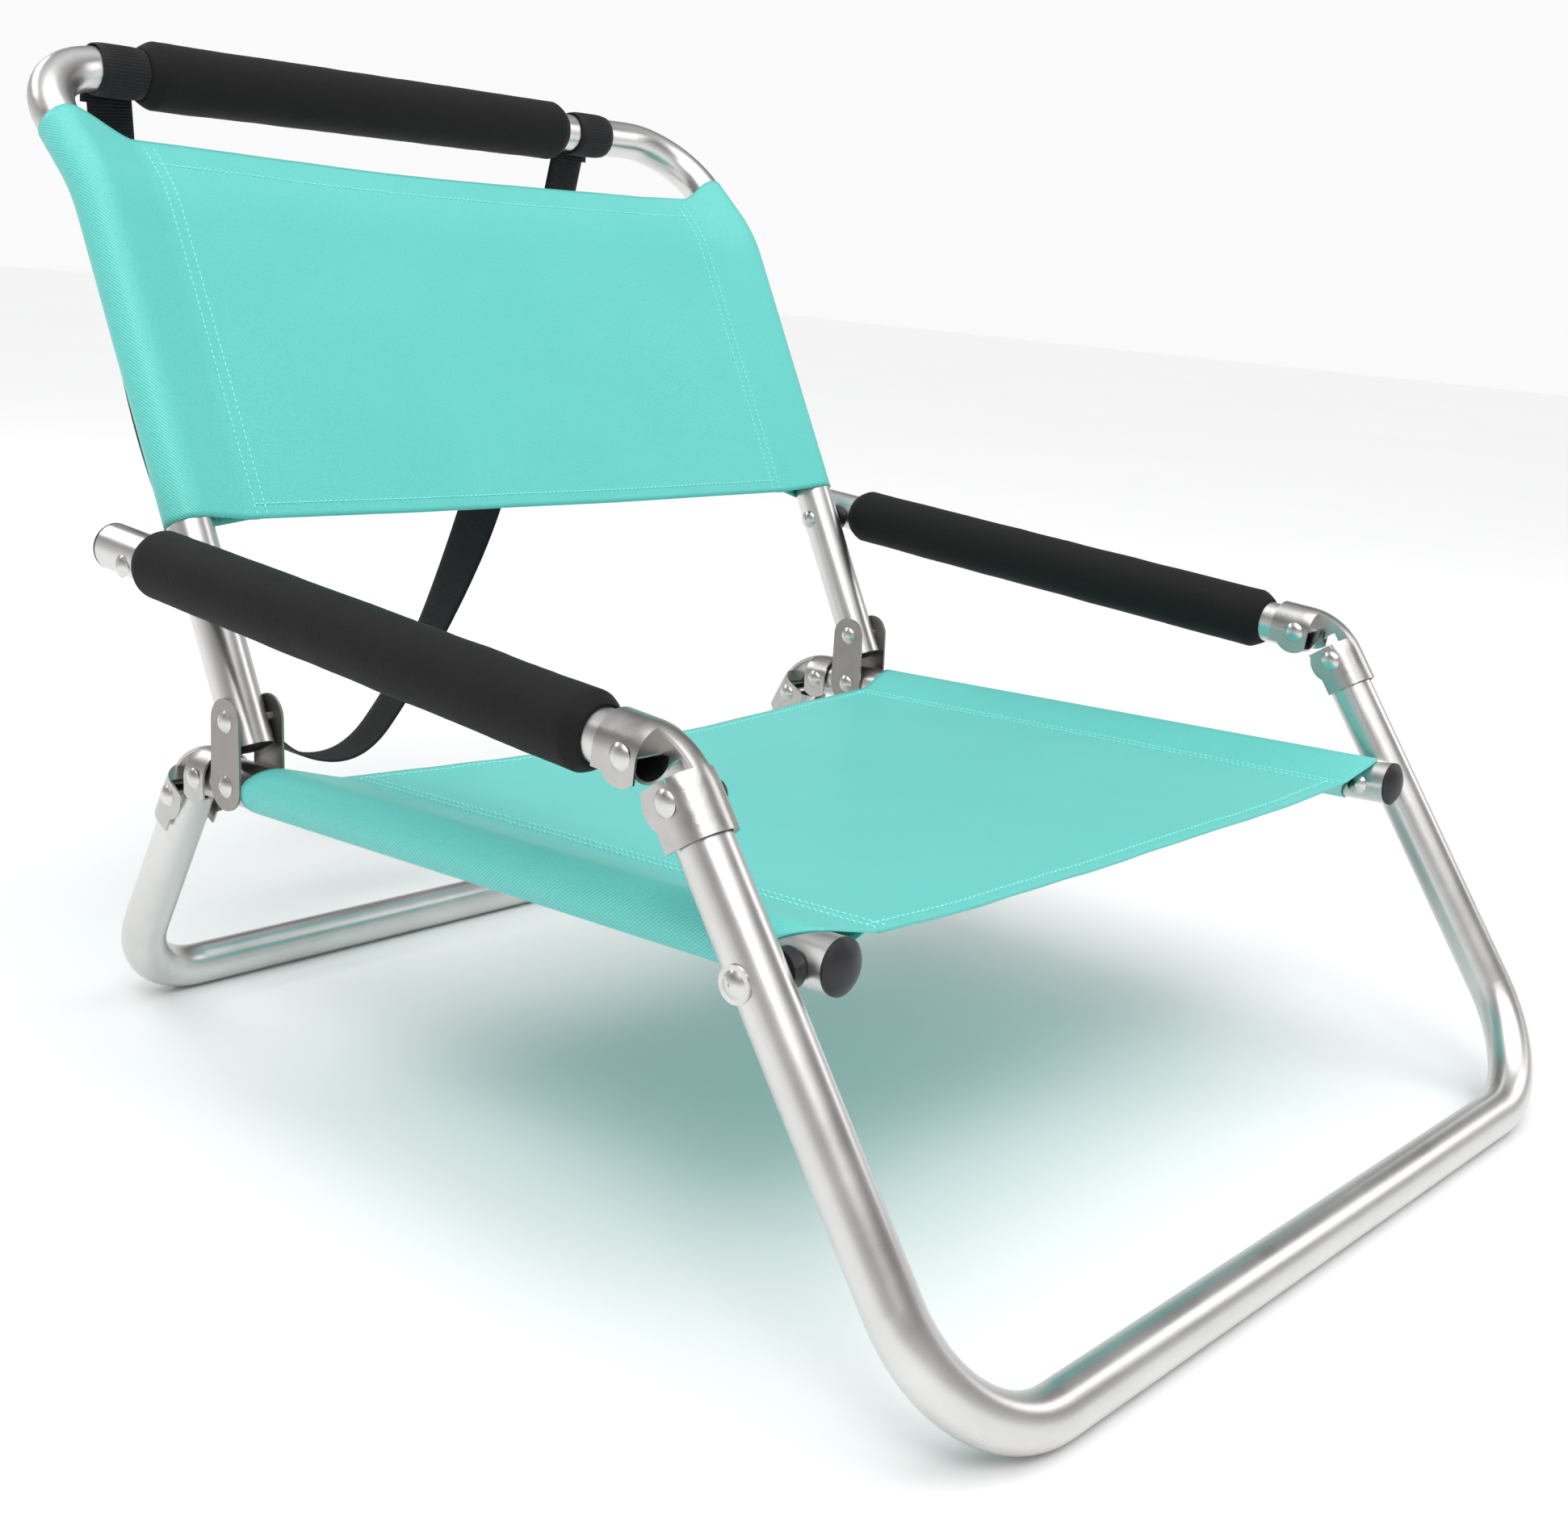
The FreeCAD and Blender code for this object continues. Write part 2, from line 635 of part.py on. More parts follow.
def make_hardware():
    """Brackets, rivets, washers, spacers and plugs."""
    seat = D["seat_plane"]
    arm = D["arm_plane"]
    slack = D["rivet_fit"] * 2
    plate = D["bracket_inside"] + D["bracket_thickness"]
    pair_grip = arm - seat + D["tube_diameter"] + slack
    spacer_length = arm - seat - D["tube_diameter"] - D["spacer_gap"] * 2
    rivets = {"back_pivot": [], "bracket": [], "arm_pivot": [], "leg_pivot": []}
    washers = []
    for side, name in ((-1, "left"), (1, "right")):
        seat_x = side * float(seat)
        middle_x = side * float((arm + seat) / 2)
        inner_face = float(D["bracket_inside"])
        outer_face = float(plate)
        bracket(f"bracket_outer_{name}", seat_x + (inner_face if side > 0 else -outer_face))
        bracket(f"bracket_inner_{name}", seat_x + (-outer_face if side > 0 else inner_face))
        rivets["back_pivot"].append(rivet(f"back_rivet_{name}", seat_x, "back_pivot", plate * 2 + slack))
        rivets["bracket"].append(rivet(f"plate_rivet_{name}", seat_x, "bracket_rivet", plate * 2 + slack))
        rivets["arm_pivot"].append(rivet(f"arm_rivet_{name}", middle_x, "arm_pivot", pair_grip))
        washer_step = side * float(D["washer_thickness"]) / 2
        rivets["leg_pivot"].append(rivet(f"leg_rivet_{name}", middle_x + washer_step, "leg_pivot",
                                         pair_grip + D["washer_thickness"]))
        outward = ACROSS if side > 0 else ACROSS_BACK
        washer = ring(f"washer_{name}", HOLE_RADIUS, D["washer_radius"], D["washer_thickness"])
        washer_x = side * float(arm + TUBE_RADIUS + D["rivet_fit"])
        stand(washer, washer_x, flat(side_point("leg_pivot")), outward)
        washers.append(washer)
        for part, pivot in (("arm", "arm_pivot"), ("leg", "leg_pivot")):
            spacer = ring(f"{part}_spacer_{name}", HOLE_RADIUS, D["spacer_radius"], spacer_length)
            stand(spacer, side * float(seat + TUBE_RADIUS + D["spacer_gap"]), flat(side_point(pivot)),
                  outward)
            keep(spacer)
        plug(f"seat_end_cap_{name}", seat_x, SEAT_FRONT, as_size(180) - D["seat_slope"])
        arm_rear = ARM_CORNER + ARM_HEADING * ((float(D["arm_rear_y"]) - ARM_CORNER.y) / ARM_HEADING.y)
        plug(f"arm_end_plug_{name}", side * float(arm), arm_rear, D["arm_slope"])
        low_plug(f"back_end_plug_{name}", seat_x, BACK_LOW, D["back_slope"] - 180)
    group("back_pivot_rivets", rivets["back_pivot"])
    group("bracket_rivets", rivets["bracket"])
    group("arm_pivot_rivets", rivets["arm_pivot"])
    group("front_leg_pivot_rivets", rivets["leg_pivot"])
    group("front_leg_washers", washers)


# ---------------------------------------------------------------- knuckles

def sleeve_section(start, outward, radius, depth):
    """Face of a sleeve: half round on the outer side, straight cheeks down to depth on the inner side."""
    across = Vector(1, 0, 0) * radius
    left = start - across
    right = start + across
    low_left = left - outward * depth
    low_right = right - outward * depth
    edges = [Part.Arc(left, start + outward * radius, right).toShape(),
             Part.makeLine(right, low_right), Part.makeLine(low_right, low_left),
             Part.makeLine(low_left, left)]
    return Part.Face(Part.Wire(edges))


def slab(corner, forward, outward, first, last, below, above, half_width):
    """A block: first to last along forward, below to above along outward, and |x| up to half_width."""
    points = [corner + forward * s + outward * t for s, t in
              ((first, below), (last, below), (last, above), (first, above))]
    points = [at_x(-half_width, point) for point in points]
    face = Part.Face(Part.makePolygon(points + points[:1]))
    return face.extrude(Vector(2 * half_width, 0, 0))


def knuckle_shape(corner, headings, rivets, sleeves, bend, swing_rooms):
    """A knuckle that joins two tubes with a rivet in each, and lets both fold inwards.

    Each swing room is the radius kept free round a rivet for the end of its tube, and how far that room
    reaches past the tube's axis on the outer side.
    """
    inside = float(D["knuckle_inside"])
    outside = inside + float(D["knuckle_wall"])
    far = outside * 4
    outwards = []
    for index in (0, 1):
        other = headings[1 - index]
        sideways = headings[index] * other.dot(headings[index]) - other
        outwards.append(sideways.normalize())
    places = [along(point, corner, direction) for point, direction in zip(rivets, headings)]
    reaches = [place + sleeve for place, sleeve in zip(places, sleeves)]
    start = corner + headings[0] * reaches[0]
    path = rounded_path([start, corner, corner + headings[1] * reaches[1]], [bend])
    shell = path.makePipe(sleeve_section(start, outwards[0], outside, float(D["knuckle_cheek"])))
    deep = path.makePipe(sleeve_section(start, outwards[0], outside, outside))
    for point in rivets:
        lobe = Part.makeCylinder(float(D["knuckle_lobe"]), 2 * outside, at_x(-outside, point),
                                 Vector(1, 0, 0))
        shell = shell.fuse(lobe.common(deep))
    for index in (0, 1):
        forward, outward = headings[index], outwards[index]
        room, lift = swing_rooms[index]
        axis_point = corner + forward * places[index]
        barrel = Part.makeCylinder(inside, far, axis_point - forward * float(D["knuckle_nose"]), forward)
        channel = slab(corner, forward, outward, places[index], far, -far, 0, inside)
        swing = Part.makeCylinder(room, 2 * inside, at_x(-inside, rivets[index]), Vector(1, 0, 0))
        inner_side = slab(corner, forward, outward, -far, far, -far, lift, inside)
        for cavity in (barrel, channel, swing.common(inner_side)):
            shell = shell.cut(cavity)
    stop = float(D["knuckle_end_face"])
    blocks = [slab(corner, headings[index], outwards[index], -far, places[index] - stop, -far, far, far)
              for index in (0, 1)]
    web_half = float(D["knuckle_web"]) / 2
    rim_half = float(D["knuckle_rim_width"]) / 2
    web = slab(corner, headings[0], outwards[0], -far, far, -far, far, web_half)
    rim = slab(corner, headings[0], outwards[0], -far, far, -far, far, rim_half)
    turn = (-headings[0]).getAngle(headings[1])
    centre = corner + (headings[0] + headings[1]).normalize() * (bend / math.cos(turn / 2))
    rim_inside = bend + outside - float(D["knuckle_rim_depth"])
    rim = rim.cut(Part.makeCylinder(rim_inside, 2 * far, at_x(-far, centre), Vector(1, 0, 0)))
    recess = blocks[0].common(blocks[1]).cut(web).cut(rim)
    shell = shell.cut(recess)
    for point in rivets:
        shell = shell.cut(Part.makeCylinder(float(HOLE_RADIUS), 2 * far, at_x(-far, point),
                                            Vector(1, 0, 0)))
    solids = sorted(shell.Solids, key=lambda solid: solid.Volume)
    return solids[-1]


def make_knuckles():
    """A front and a rear knuckle on each side, with two rivets in each."""
    inside = D["knuckle_inside"]
    grip = (inside + D["knuckle_wall"]) * 2 + D["rivet_fit"] * 2
    near_room = (float(inside), float(D["swing_lift"]))
    front_rivets = [flat(side_point("arm_knuckle")), flat(side_point("leg_knuckle"))]
    front = knuckle_shape(ARM_CORNER, [ARM_HEADING, -heading(D["front_leg_slope"])], front_rivets,
                          [float(D["front_sleeve_arm"]), float(D["front_sleeve_leg"])],
                          float(D["front_knuckle_bend"]),
                          [near_room, (float(D["leg_swing_room"]), float(D["leg_swing_lift"]))])
    rear_corner = crossing(SEAT_FRONT, SEAT_HEADING, REAR_KNUCKLE, heading(REAR_LEG_ANGLE))
    rear_rivets = [flat(side_point("seat_knuckle")), REAR_KNUCKLE]
    rear = knuckle_shape(rear_corner, [-SEAT_HEADING, -heading(REAR_LEG_ANGLE)], rear_rivets,
                         [float(D["rear_sleeve_seat"]), float(D["rear_sleeve_leg"])],
                         float(D["rear_knuckle_bend"]), [near_room, near_room])
    plans = (("front", front, "arm_plane", ("arm_knuckle", "leg_knuckle")),
             ("rear", rear, "seat_plane", ("seat_knuckle", "rear_knuckle")))
    for end, shape, plane, pivots in plans:
        for side, name in ((-1, "left"), (1, "right")):
            x = side * float(D[plane])
            link = shaped(f"{end}_hinge_link_{name}", shape)
            stand(link, x)
            keep(link)
            rivets = [rivet(f"{end}_hinge_rivet_{name}_{pivot}", x, pivot, grip) for pivot in pivots]
            group(f"{end}_hinge_rivets_{name}", rivets)


# ---------------------------------------------------------------- cloth, foam and strap

def foam(label, x, start, rotation, length, radius):
    """A foam tube with chamfered ends that starts at start and runs along its own Z axis."""
    inside = TUBE_RADIUS + D["foam_fit"]
    neck = radius - D["foam_chamfer"]
    slope = D["foam_chamfer_length"]
    body = turned(label, [(inside, 0), (neck, 0), (radius, slope), (radius, length - slope),
                          (neck, length), (inside, length)])
    stand(body, x, start, rotation)
    return keep(body)


def sleeve(path):
    """Cloth wrapped round a tube along a path."""
    return swept(path, SLEEVE_OUTSIDE).cut(swept(path, SLEEVE_INSIDE))


def seat_sling():
    """Seat cloth: a sleeve on each seat tube and the sitting face between them."""
    side = float(D["seat_plane"])
    thickness = float(D["cloth_thickness"])
    lift = Vector(0, 0, float(D["web_offset"]))

    def on_seat(x, y):
        return at_x(x, SEAT_FRONT + SEAT_HEADING * ((y - SEAT_FRONT.y) / SEAT_HEADING.y))

    inset = math.sqrt(SLEEVE_INSIDE ** 2 - lift.z ** 2) + thickness / 2
    edge_x = side - inset
    front, rear, middle = (float(D[f"seat_cloth_{name}"]) for name in ("front", "rear", "middle"))
    left_front, right_front = on_seat(-edge_x, front) + lift, on_seat(edge_x, front) + lift
    left_rear, right_rear = on_seat(-edge_x, rear) + lift, on_seat(edge_x, rear) + lift
    outline = Part.Wire([Part.makeLine(left_front, right_front), Part.makeLine(right_front, right_rear),
                         Part.Arc(right_rear, on_seat(0, middle) + lift, left_rear).toShape(),
                         Part.makeLine(left_rear, left_front)])
    cloth = Part.Face(outline).extrude(Vector(0, 0, thickness))
    for sign in (-1, 1):
        ends = [on_seat(sign * side, y) for y in (float(D["seat_sleeve_front"]), rear)]
        cloth = cloth.fuse(sleeve(Part.Wire([Part.makeLine(*ends)])))
    piece = shaped("seat_sling", cloth.removeSplitter())
    stand(piece)
    return keep(piece)


def back_sling():
    """Back cloth: a sleeve on each upright, bent with it, and the face between them."""
    side = float(D["seat_plane"])
    thickness = float(D["cloth_thickness"])
    offset = float(D["web_offset"])
    low = BACK_LOW + heading(D["back_slope"]) * float(D["back_cloth_low"])
    top = BACK_BEND + heading(TOP_ANGLE) * float(D["back_cloth_top"])
    bend = float(D["back_sweep_bend"])

    def shifted(distance):
        first = heading(float(D["back_slope"]) + 90) * distance
        last = heading(float(TOP_ANGLE) + 90) * distance
        corner = crossing(low + first, heading(D["back_slope"]), top + last, heading(TOP_ANGLE))
        return rounded_path([low + first, corner, top + last], [bend + distance])

    edge_x = side - math.sqrt(SLEEVE_INSIDE ** 2 - offset ** 2) - thickness / 2
    inner, outer = shifted(offset), shifted(offset + thickness)
    ends = [(wire.Edges[0].valueAt(wire.Edges[0].FirstParameter),
             wire.Edges[-1].valueAt(wire.Edges[-1].LastParameter)) for wire in (inner, outer)]
    closed = Part.Wire(inner.Edges + [Part.makeLine(ends[0][1], ends[1][1])]
                       + list(reversed(outer.Edges)) + [Part.makeLine(ends[1][0], ends[0][0])])
    web = Part.Face(closed)
    web.translate(Vector(-edge_x, 0, 0))
    cloth = web.extrude(Vector(2 * edge_x, 0, 0))
    for sign in (-1, 1):
        points = [at_x(sign * side, point) for point in (low, BACK_BEND, top)]
        cloth = cloth.fuse(sleeve(rounded_path(points, [bend])))
    piece = shaped("back_sling", cloth.removeSplitter())
    stand(piece)
    return keep(piece)


def strap_loop(label, centre_x):
    """Webbing sewn round the rail, with a short tail that hangs from the rear of the loop."""
    inside = float(TUBE_RADIUS + D["loop_fit"])
    outside = inside + float(D["webbing_thickness"])
    half = float(D["webbing_width"]) / 2
    start = at_x(centre_x - half, RAIL)
    loop = Part.makeCylinder(outside, 2 * half, start, Vector(1, 0, 0))
    tail = Part.makeBox(2 * half, outside - inside, float(D["loop_tail"]),
                        start + Vector(0, inside, -float(D["loop_tail"])))
    shape = loop.fuse(tail).cut(Part.makeCylinder(inside, 2 * half, start, Vector(1, 0, 0)))
    piece = shaped(label, shape.removeSplitter())
    stand(piece)
    return keep(piece)


STRAP_ROUTE = [(-197, 511.5), (-192, 450), (-183, 390), (-169, 325), (-152, 262), (-132, 205),
               (-108, 150), (-82, 111), (-43, 90), (-5, 94), (26, 129), (60, 178), (101, 264),
               (132, 370), (151, 440), (166, 511.5)]
RADIUS_SHARE = 0.45


def carry_strap():
    """The strap that hangs from loop to loop in the plane behind the rail."""
    behind = RAIL.y + float(TUBE_RADIUS + D["loop_fit"] + D["webbing_thickness"] / 2)
    points = [Vector(x, behind, z) for x, z in STRAP_ROUTE]
    radii = []
    for before, corner, after in zip(points, points[1:], points[2:]):
        shorter = min((corner - before).Length, (after - corner).Length)
        turn = (corner - before).getAngle(after - corner)
        radii.append(RADIUS_SHARE * shorter / math.tan(turn / 2))
    print("strap radii", [round(radius) for radius in radii])
    path = rounded_path(points, radii)
    tube = swept(path, float(D["strap_diameter"]) / 2)
    section = math.pi * (float(D["strap_diameter"]) / 2) ** 2
    print("strap length", round(path.Length), "volume share", round(tube.Volume / section / path.Length, 4))
    piece = shaped("carry_strap", tube)
    stand(piece)
    return keep(piece)


def make_soft_parts():
    """Slings, foam grips, strap loops and the strap."""
    seat_sling()
    back_sling()
    front = float(D["arm_foam_front"])
    arm_length = (D["arm_foam_rear"] - D["arm_foam_front"]) / cosine(D["arm_slope"])
    start = ARM_CORNER + ARM_HEADING * ((front - ARM_CORNER.y) / ARM_HEADING.y)
    for side, name in ((-1, "left"), (1, "right")):
        foam(f"arm_grip_{name}", side * float(D["arm_plane"]), start, pitched(D["arm_slope"]),
             arm_length, D["arm_foam_radius"])
    rail_length = D["rail_foam_right"] - D["rail_foam_left"]
    foam("back_grip", float(D["rail_foam_left"]), RAIL, ACROSS, rail_length, D["rail_foam_radius"])
    strap_loop("strap_loop_left", float(D["loop_left"]))
    strap_loop("strap_loop_right", float(D["loop_right"]))
    carry_strap()


# ---------------------------------------------------------------- build, check and write

def check_document():
    """Stop when any object failed, or any piece is not a sound solid."""
    for item in DOC.Objects:
        if {"Invalid", "Error"} & set(item.State):
            raise RuntimeError(f"{item.Label} failed: {item.State}")
    for piece in PIECES:
        shape = piece.Shape
        if shape.isNull() or not shape.isValid() or not shape.Solids:
            raise RuntimeError(f"{piece.Label} is not a valid solid")


def write_parts():
    """Write one STEP file for each piece."""
    os.makedirs("parts", exist_ok=True)
    for piece in PIECES:
        piece.Shape.exportStep(f"parts/{piece.Label}.step")
    print(len(PIECES), "pieces written, centre", round(CENTRE_Y, 3))


make_frame_tubes()
make_hardware()
make_knuckles()
make_soft_parts()
DOC.recompute()
check_document()
write_parts()
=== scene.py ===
"""Looks of the folding camp chair: cloth slings, foam grips, webbing, and the metal and plastic finishes.

Everything is in metres, in the row frame: the chair faces -Y, and the floor is z = 0.
"""
import math

import bpy
from mathutils import Matrix, Vector, noise


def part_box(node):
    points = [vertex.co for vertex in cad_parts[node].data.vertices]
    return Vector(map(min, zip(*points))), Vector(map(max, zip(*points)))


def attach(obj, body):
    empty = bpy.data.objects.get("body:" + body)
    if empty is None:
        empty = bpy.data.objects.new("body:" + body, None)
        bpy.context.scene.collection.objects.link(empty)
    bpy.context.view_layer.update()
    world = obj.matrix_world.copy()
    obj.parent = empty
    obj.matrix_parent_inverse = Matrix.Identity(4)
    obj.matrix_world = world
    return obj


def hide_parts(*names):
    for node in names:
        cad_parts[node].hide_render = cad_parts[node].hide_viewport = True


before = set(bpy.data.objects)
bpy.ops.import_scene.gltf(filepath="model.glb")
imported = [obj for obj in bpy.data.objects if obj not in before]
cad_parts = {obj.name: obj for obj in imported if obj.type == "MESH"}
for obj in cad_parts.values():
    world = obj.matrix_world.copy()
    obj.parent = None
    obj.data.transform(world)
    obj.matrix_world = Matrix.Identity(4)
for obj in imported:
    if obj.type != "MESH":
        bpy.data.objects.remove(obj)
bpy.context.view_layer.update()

MM = 0.001

# ---------------------------------------------------------------- measures

SEAT_SLOPE = math.radians(-2.65)    # slopes rise towards the rear
BACK_SLOPE = math.radians(62.0)
TOP_SLOPE = math.radians(41.0)      # the part of the back above the sweep
ARM_SLOPE = math.radians(3.5)
SWEEP_BEND = 90 * MM                # bend radius of the sweep

SEAT_LOW, SEAT_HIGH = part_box("seat_tube_left")
BACK_LOW, BACK_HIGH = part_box("back_frame")
TUBE_RADIUS = (SEAT_HIGH[0] - SEAT_LOW[0]) / 2
SIDE = -(SEAT_HIGH[0] + SEAT_LOW[0]) / 2

CLOTH = 0.8 * MM
CLOTH_FIT = 0.1 * MM                # between a tube and its sleeve
CLOTH_RADIUS = TUBE_RADIUS + CLOTH_FIT + CLOTH / 2
SEAM_IN = 35.5 * MM                 # from a tube's axis to the seam of its sleeve
SEAM_HEM = 7 * MM                   # cloth beyond the seam, under the sitting face
HEM_WIDTH = 11 * MM
SEAM_STITCHES = (SIDE - SEAM_IN - 5 * MM, SIDE - SEAM_IN - 11.5 * MM)

FOAM_FIT = 0.05 * MM
FOAM_CHAMFER_LENGTH = 8 * MM
FOAM_CHAMFER_DEPTH = 4 * MM

WEBBING_WIDTH = 29 * MM
WEBBING = 1.6 * MM
RIB_PITCH = 1.8 * MM
LOOP_FIT = 0.5 * MM
LOOP_RADIUS = TUBE_RADIUS + LOOP_FIT + WEBBING / 2
LOOP_TAIL = 18 * MM

# The strap's middle line from the left loop to the right one: (x, z), in millimetres.
STRAP_ROUTE = [(-197, 511.5), (-192, 450), (-183, 390), (-169, 325), (-152, 262), (-132, 205),
               (-108, 150), (-82, 111), (-43, 90), (-5, 94), (26, 129), (60, 178), (101, 264),
               (132, 370), (151, 440), (166, 511.5)]


def heading(angle):
    """Unit vector of the side view at an angle above +Y."""
    return Vector((0, math.cos(angle), math.sin(angle)))


def crossing(first, first_direction, second, second_direction):
    """Where two lines of the side view meet."""
    gap = second - first
    turn = first_direction.cross(second_direction).x
    return first + first_direction * (gap.cross(second_direction).x / turn)


SEAT_FRONT = Vector((0, SEAT_LOW[1] - TUBE_RADIUS * math.sin(SEAT_SLOPE),
                     SEAT_HIGH[2] - TUBE_RADIUS * math.cos(SEAT_SLOPE)))
BACK_END = Vector((0, BACK_LOW[1] + TUBE_RADIUS * math.sin(BACK_SLOPE),
                   BACK_LOW[2] + TUBE_RADIUS * math.cos(BACK_SLOPE)))
RAIL = Vector((0, BACK_HIGH[1] - TUBE_RADIUS, BACK_HIGH[2] - TUBE_RADIUS))
BACK_BEND = crossing(BACK_END, heading(BACK_SLOPE), RAIL, heading(TOP_SLOPE))


def seat_axis(distance):
    """Point and upper normal of the seat tubes' side view, from their front end."""
    return SEAT_FRONT + heading(SEAT_SLOPE) * distance, heading(SEAT_SLOPE + math.pi / 2)


def back_axis(distance):
    """Point and front normal of the uprights' side view, from their lower end, through the sweep."""
    turn = BACK_SLOPE - TOP_SLOPE
    setback = SWEEP_BEND * math.tan(turn / 2)
    straight = (BACK_BEND - BACK_END).length - setback
    if distance <= straight:
        return BACK_END + heading(BACK_SLOPE) * distance, heading(BACK_SLOPE + math.pi / 2)
    start = BACK_END + heading(BACK_SLOPE) * straight
    centre = start - heading(BACK_SLOPE + math.pi / 2) * SWEEP_BEND
    angle = min((distance - straight) / SWEEP_BEND, turn)
    normal = heading(BACK_SLOPE - angle + math.pi / 2)
    point = centre + normal * SWEEP_BEND
    beyond = distance - straight - turn * SWEEP_BEND
    if beyond > 0:
        point += heading(TOP_SLOPE) * beyond
    return point, normal


BEND_AT = (BACK_BEND - BACK_END).length     # the sweep's corner, measured along the upright

# ---------------------------------------------------------------- materials

# Socket numbers of a mix node that mixes colours; their names repeat for its other data types.
MIX_FACTOR, MIX_FIRST, MIX_SECOND, MIX_RESULT = 0, 6, 7, 2


class Finish:
    """A small helper that wires one node material."""

    def __init__(self, name):
        self.material = bpy.data.materials.new(name)
        self.material.use_nodes = True
        self.nodes = self.material.node_tree.nodes
        self.links = self.material.node_tree.links
        self.shader = self.nodes["Principled BSDF"]

    def add(self, kind, **values):
        """A node with attributes, and inputs given as socket name to value or to another socket."""
        node = self.nodes.new(kind)
        for key, value in values.pop("attributes", {}).items():
            setattr(node, key, value)
        for key, value in values.pop("sockets", {}).items():
            if isinstance(value, bpy.types.NodeSocket):
                self.links.new(value, node.inputs[key])
            else:
                node.inputs[key].default_value = value
        return node

    def coordinates(self, kind="Object"):
        return self.add("ShaderNodeTexCoord").outputs[kind]

    def noise(self, where, scale, detail=3.0, rough=0.55):
        node = self.add("ShaderNodeTexNoise", sockets={"Vector": where, "Scale": scale, "Detail": detail,
                                                       "Roughness": rough})
        return node.outputs["Fac"]

    def bands(self, where, pitch, turn=0.0, distortion=0.0):
        """Even ribs of a given pitch, turned in the plane of the first two coordinates."""
        mapping = self.add("ShaderNodeMapping", sockets={"Vector": where, "Rotation": (0, 0, turn)})
        wave = self.add("ShaderNodeTexWave", attributes={"wave_type": "BANDS", "bands_direction": "X"},
                        sockets={"Vector": mapping.outputs["Vector"], "Scale": math.tau / 20 / pitch,
                                 "Distortion": distortion, "Detail": 1.0, "Detail Scale": 4.0})
        return wave.outputs["Fac"]

    def between(self, factor, low, high):
        """Map a 0 to 1 factor onto a range of numbers."""
        node = self.add("ShaderNodeMapRange", sockets={"Value": factor, "To Min": low, "To Max": high})
        return node.outputs["Result"]

    def blend(self, factor, first, second):
        """Mix two colours."""
        node = self.add("ShaderNodeMix", attributes={"data_type": "RGBA"})
        self.links.new(factor, node.inputs[MIX_FACTOR])
        for socket, colour in ((node.inputs[MIX_FIRST], first), (node.inputs[MIX_SECOND], second)):
            if isinstance(colour, bpy.types.NodeSocket):
                self.links.new(colour, socket)
            else:
                socket.default_value = (*colour, 1)
        return node.outputs[MIX_RESULT]

    def sum(self, first, second, share):
        """first plus share times second."""
        node = self.add("ShaderNodeMath", attributes={"operation": "MULTIPLY_ADD"})
        self.links.new(second, node.inputs[0])
        node.inputs[1].default_value = share
        self.links.new(first, node.inputs[2])
        return node.outputs[0]

    def bump(self, height, distance, strength=1.0):
        node = self.add("ShaderNodeBump", sockets={"Height": height, "Distance": distance,
                                                   "Strength": strength})
        self.links.new(node.outputs["Normal"], self.shader.inputs["Normal"])

    def set(self, **sockets):
        """Shader inputs, with underscores for the spaces in their names."""
        for key, value in sockets.items():
            socket = self.shader.inputs[key.replace("_", " ")]
            if isinstance(value, bpy.types.NodeSocket):
                self.links.new(value, socket)
            elif isinstance(value, tuple) and len(value) == 3:
                socket.default_value = (*value, 1)
            else:
                socket.default_value = value
        return self.material


def tube_metal():
    """Satin polished aluminium with handling marks and faint drawing lines."""
    finish = Finish("tube_aluminium")
    where = finish.coordinates()
    cloudy = finish.noise(where, 28, 5)
    fine = finish.noise(where, 700, 2)
    finish.bump(finish.sum(finish.noise(where, 34, 2), fine, 0.10), 0.35 * MM, 0.35)
    return finish.set(Metallic=1.0,
                      Base_Color=finish.blend(cloudy, (0.58, 0.57, 0.555), (0.76, 0.755, 0.745)),
                      Roughness=finish.between(cloudy, 0.22, 0.38))


def stamped_metal(name, dark, light, rough):
    """Plated stamped metal with a slightly mottled skin."""
    finish = Finish(name)
    where = finish.coordinates()
    cloudy = finish.noise(where, 90, 6)
    finish.bump(finish.noise(where, 420, 3), 0.10 * MM, 0.5)
    return finish.set(Metallic=1.0, Base_Color=finish.blend(cloudy, dark, light),
                      Roughness=finish.between(cloudy, rough - 0.08, rough + 0.10))


def black_plastic():
    """Moulded black plastic with a fine spark texture and scuffs."""
    finish = Finish("black_plastic")
    where = finish.coordinates()
    scuff = finish.noise(where, 160, 6)
    finish.bump(finish.noise(where, 1400, 2), 0.06 * MM, 0.5)
    return finish.set(Base_Color=finish.blend(scuff, (0.006, 0.006, 0.007), (0.020, 0.020, 0.023)),
                      Roughness=finish.between(scuff, 0.32, 0.55), IOR=1.48)


def foam_rubber():
    """Closed-cell foam: near black, dull, with fine pores and soft wear."""
    finish = Finish("foam_rubber")
    where = finish.coordinates()
    pores = finish.add("ShaderNodeTexVoronoi", sockets={"Vector": where, "Scale": 1100.0})
    cloudy = finish.noise(where, 22, 4)
    finish.bump(finish.sum(pores.outputs["Distance"], finish.noise(where, 240, 4), 0.8), 0.22 * MM, 0.75)
    return finish.set(Base_Color=finish.blend(cloudy, (0.0045, 0.0042, 0.0040), (0.0095, 0.0090, 0.0088)),
                      Roughness=finish.between(cloudy, 0.66, 0.86), Sheen_Weight=0.03,
                      Sheen_Roughness=0.5, IOR=1.42, Specular_IOR_Level=0.28)


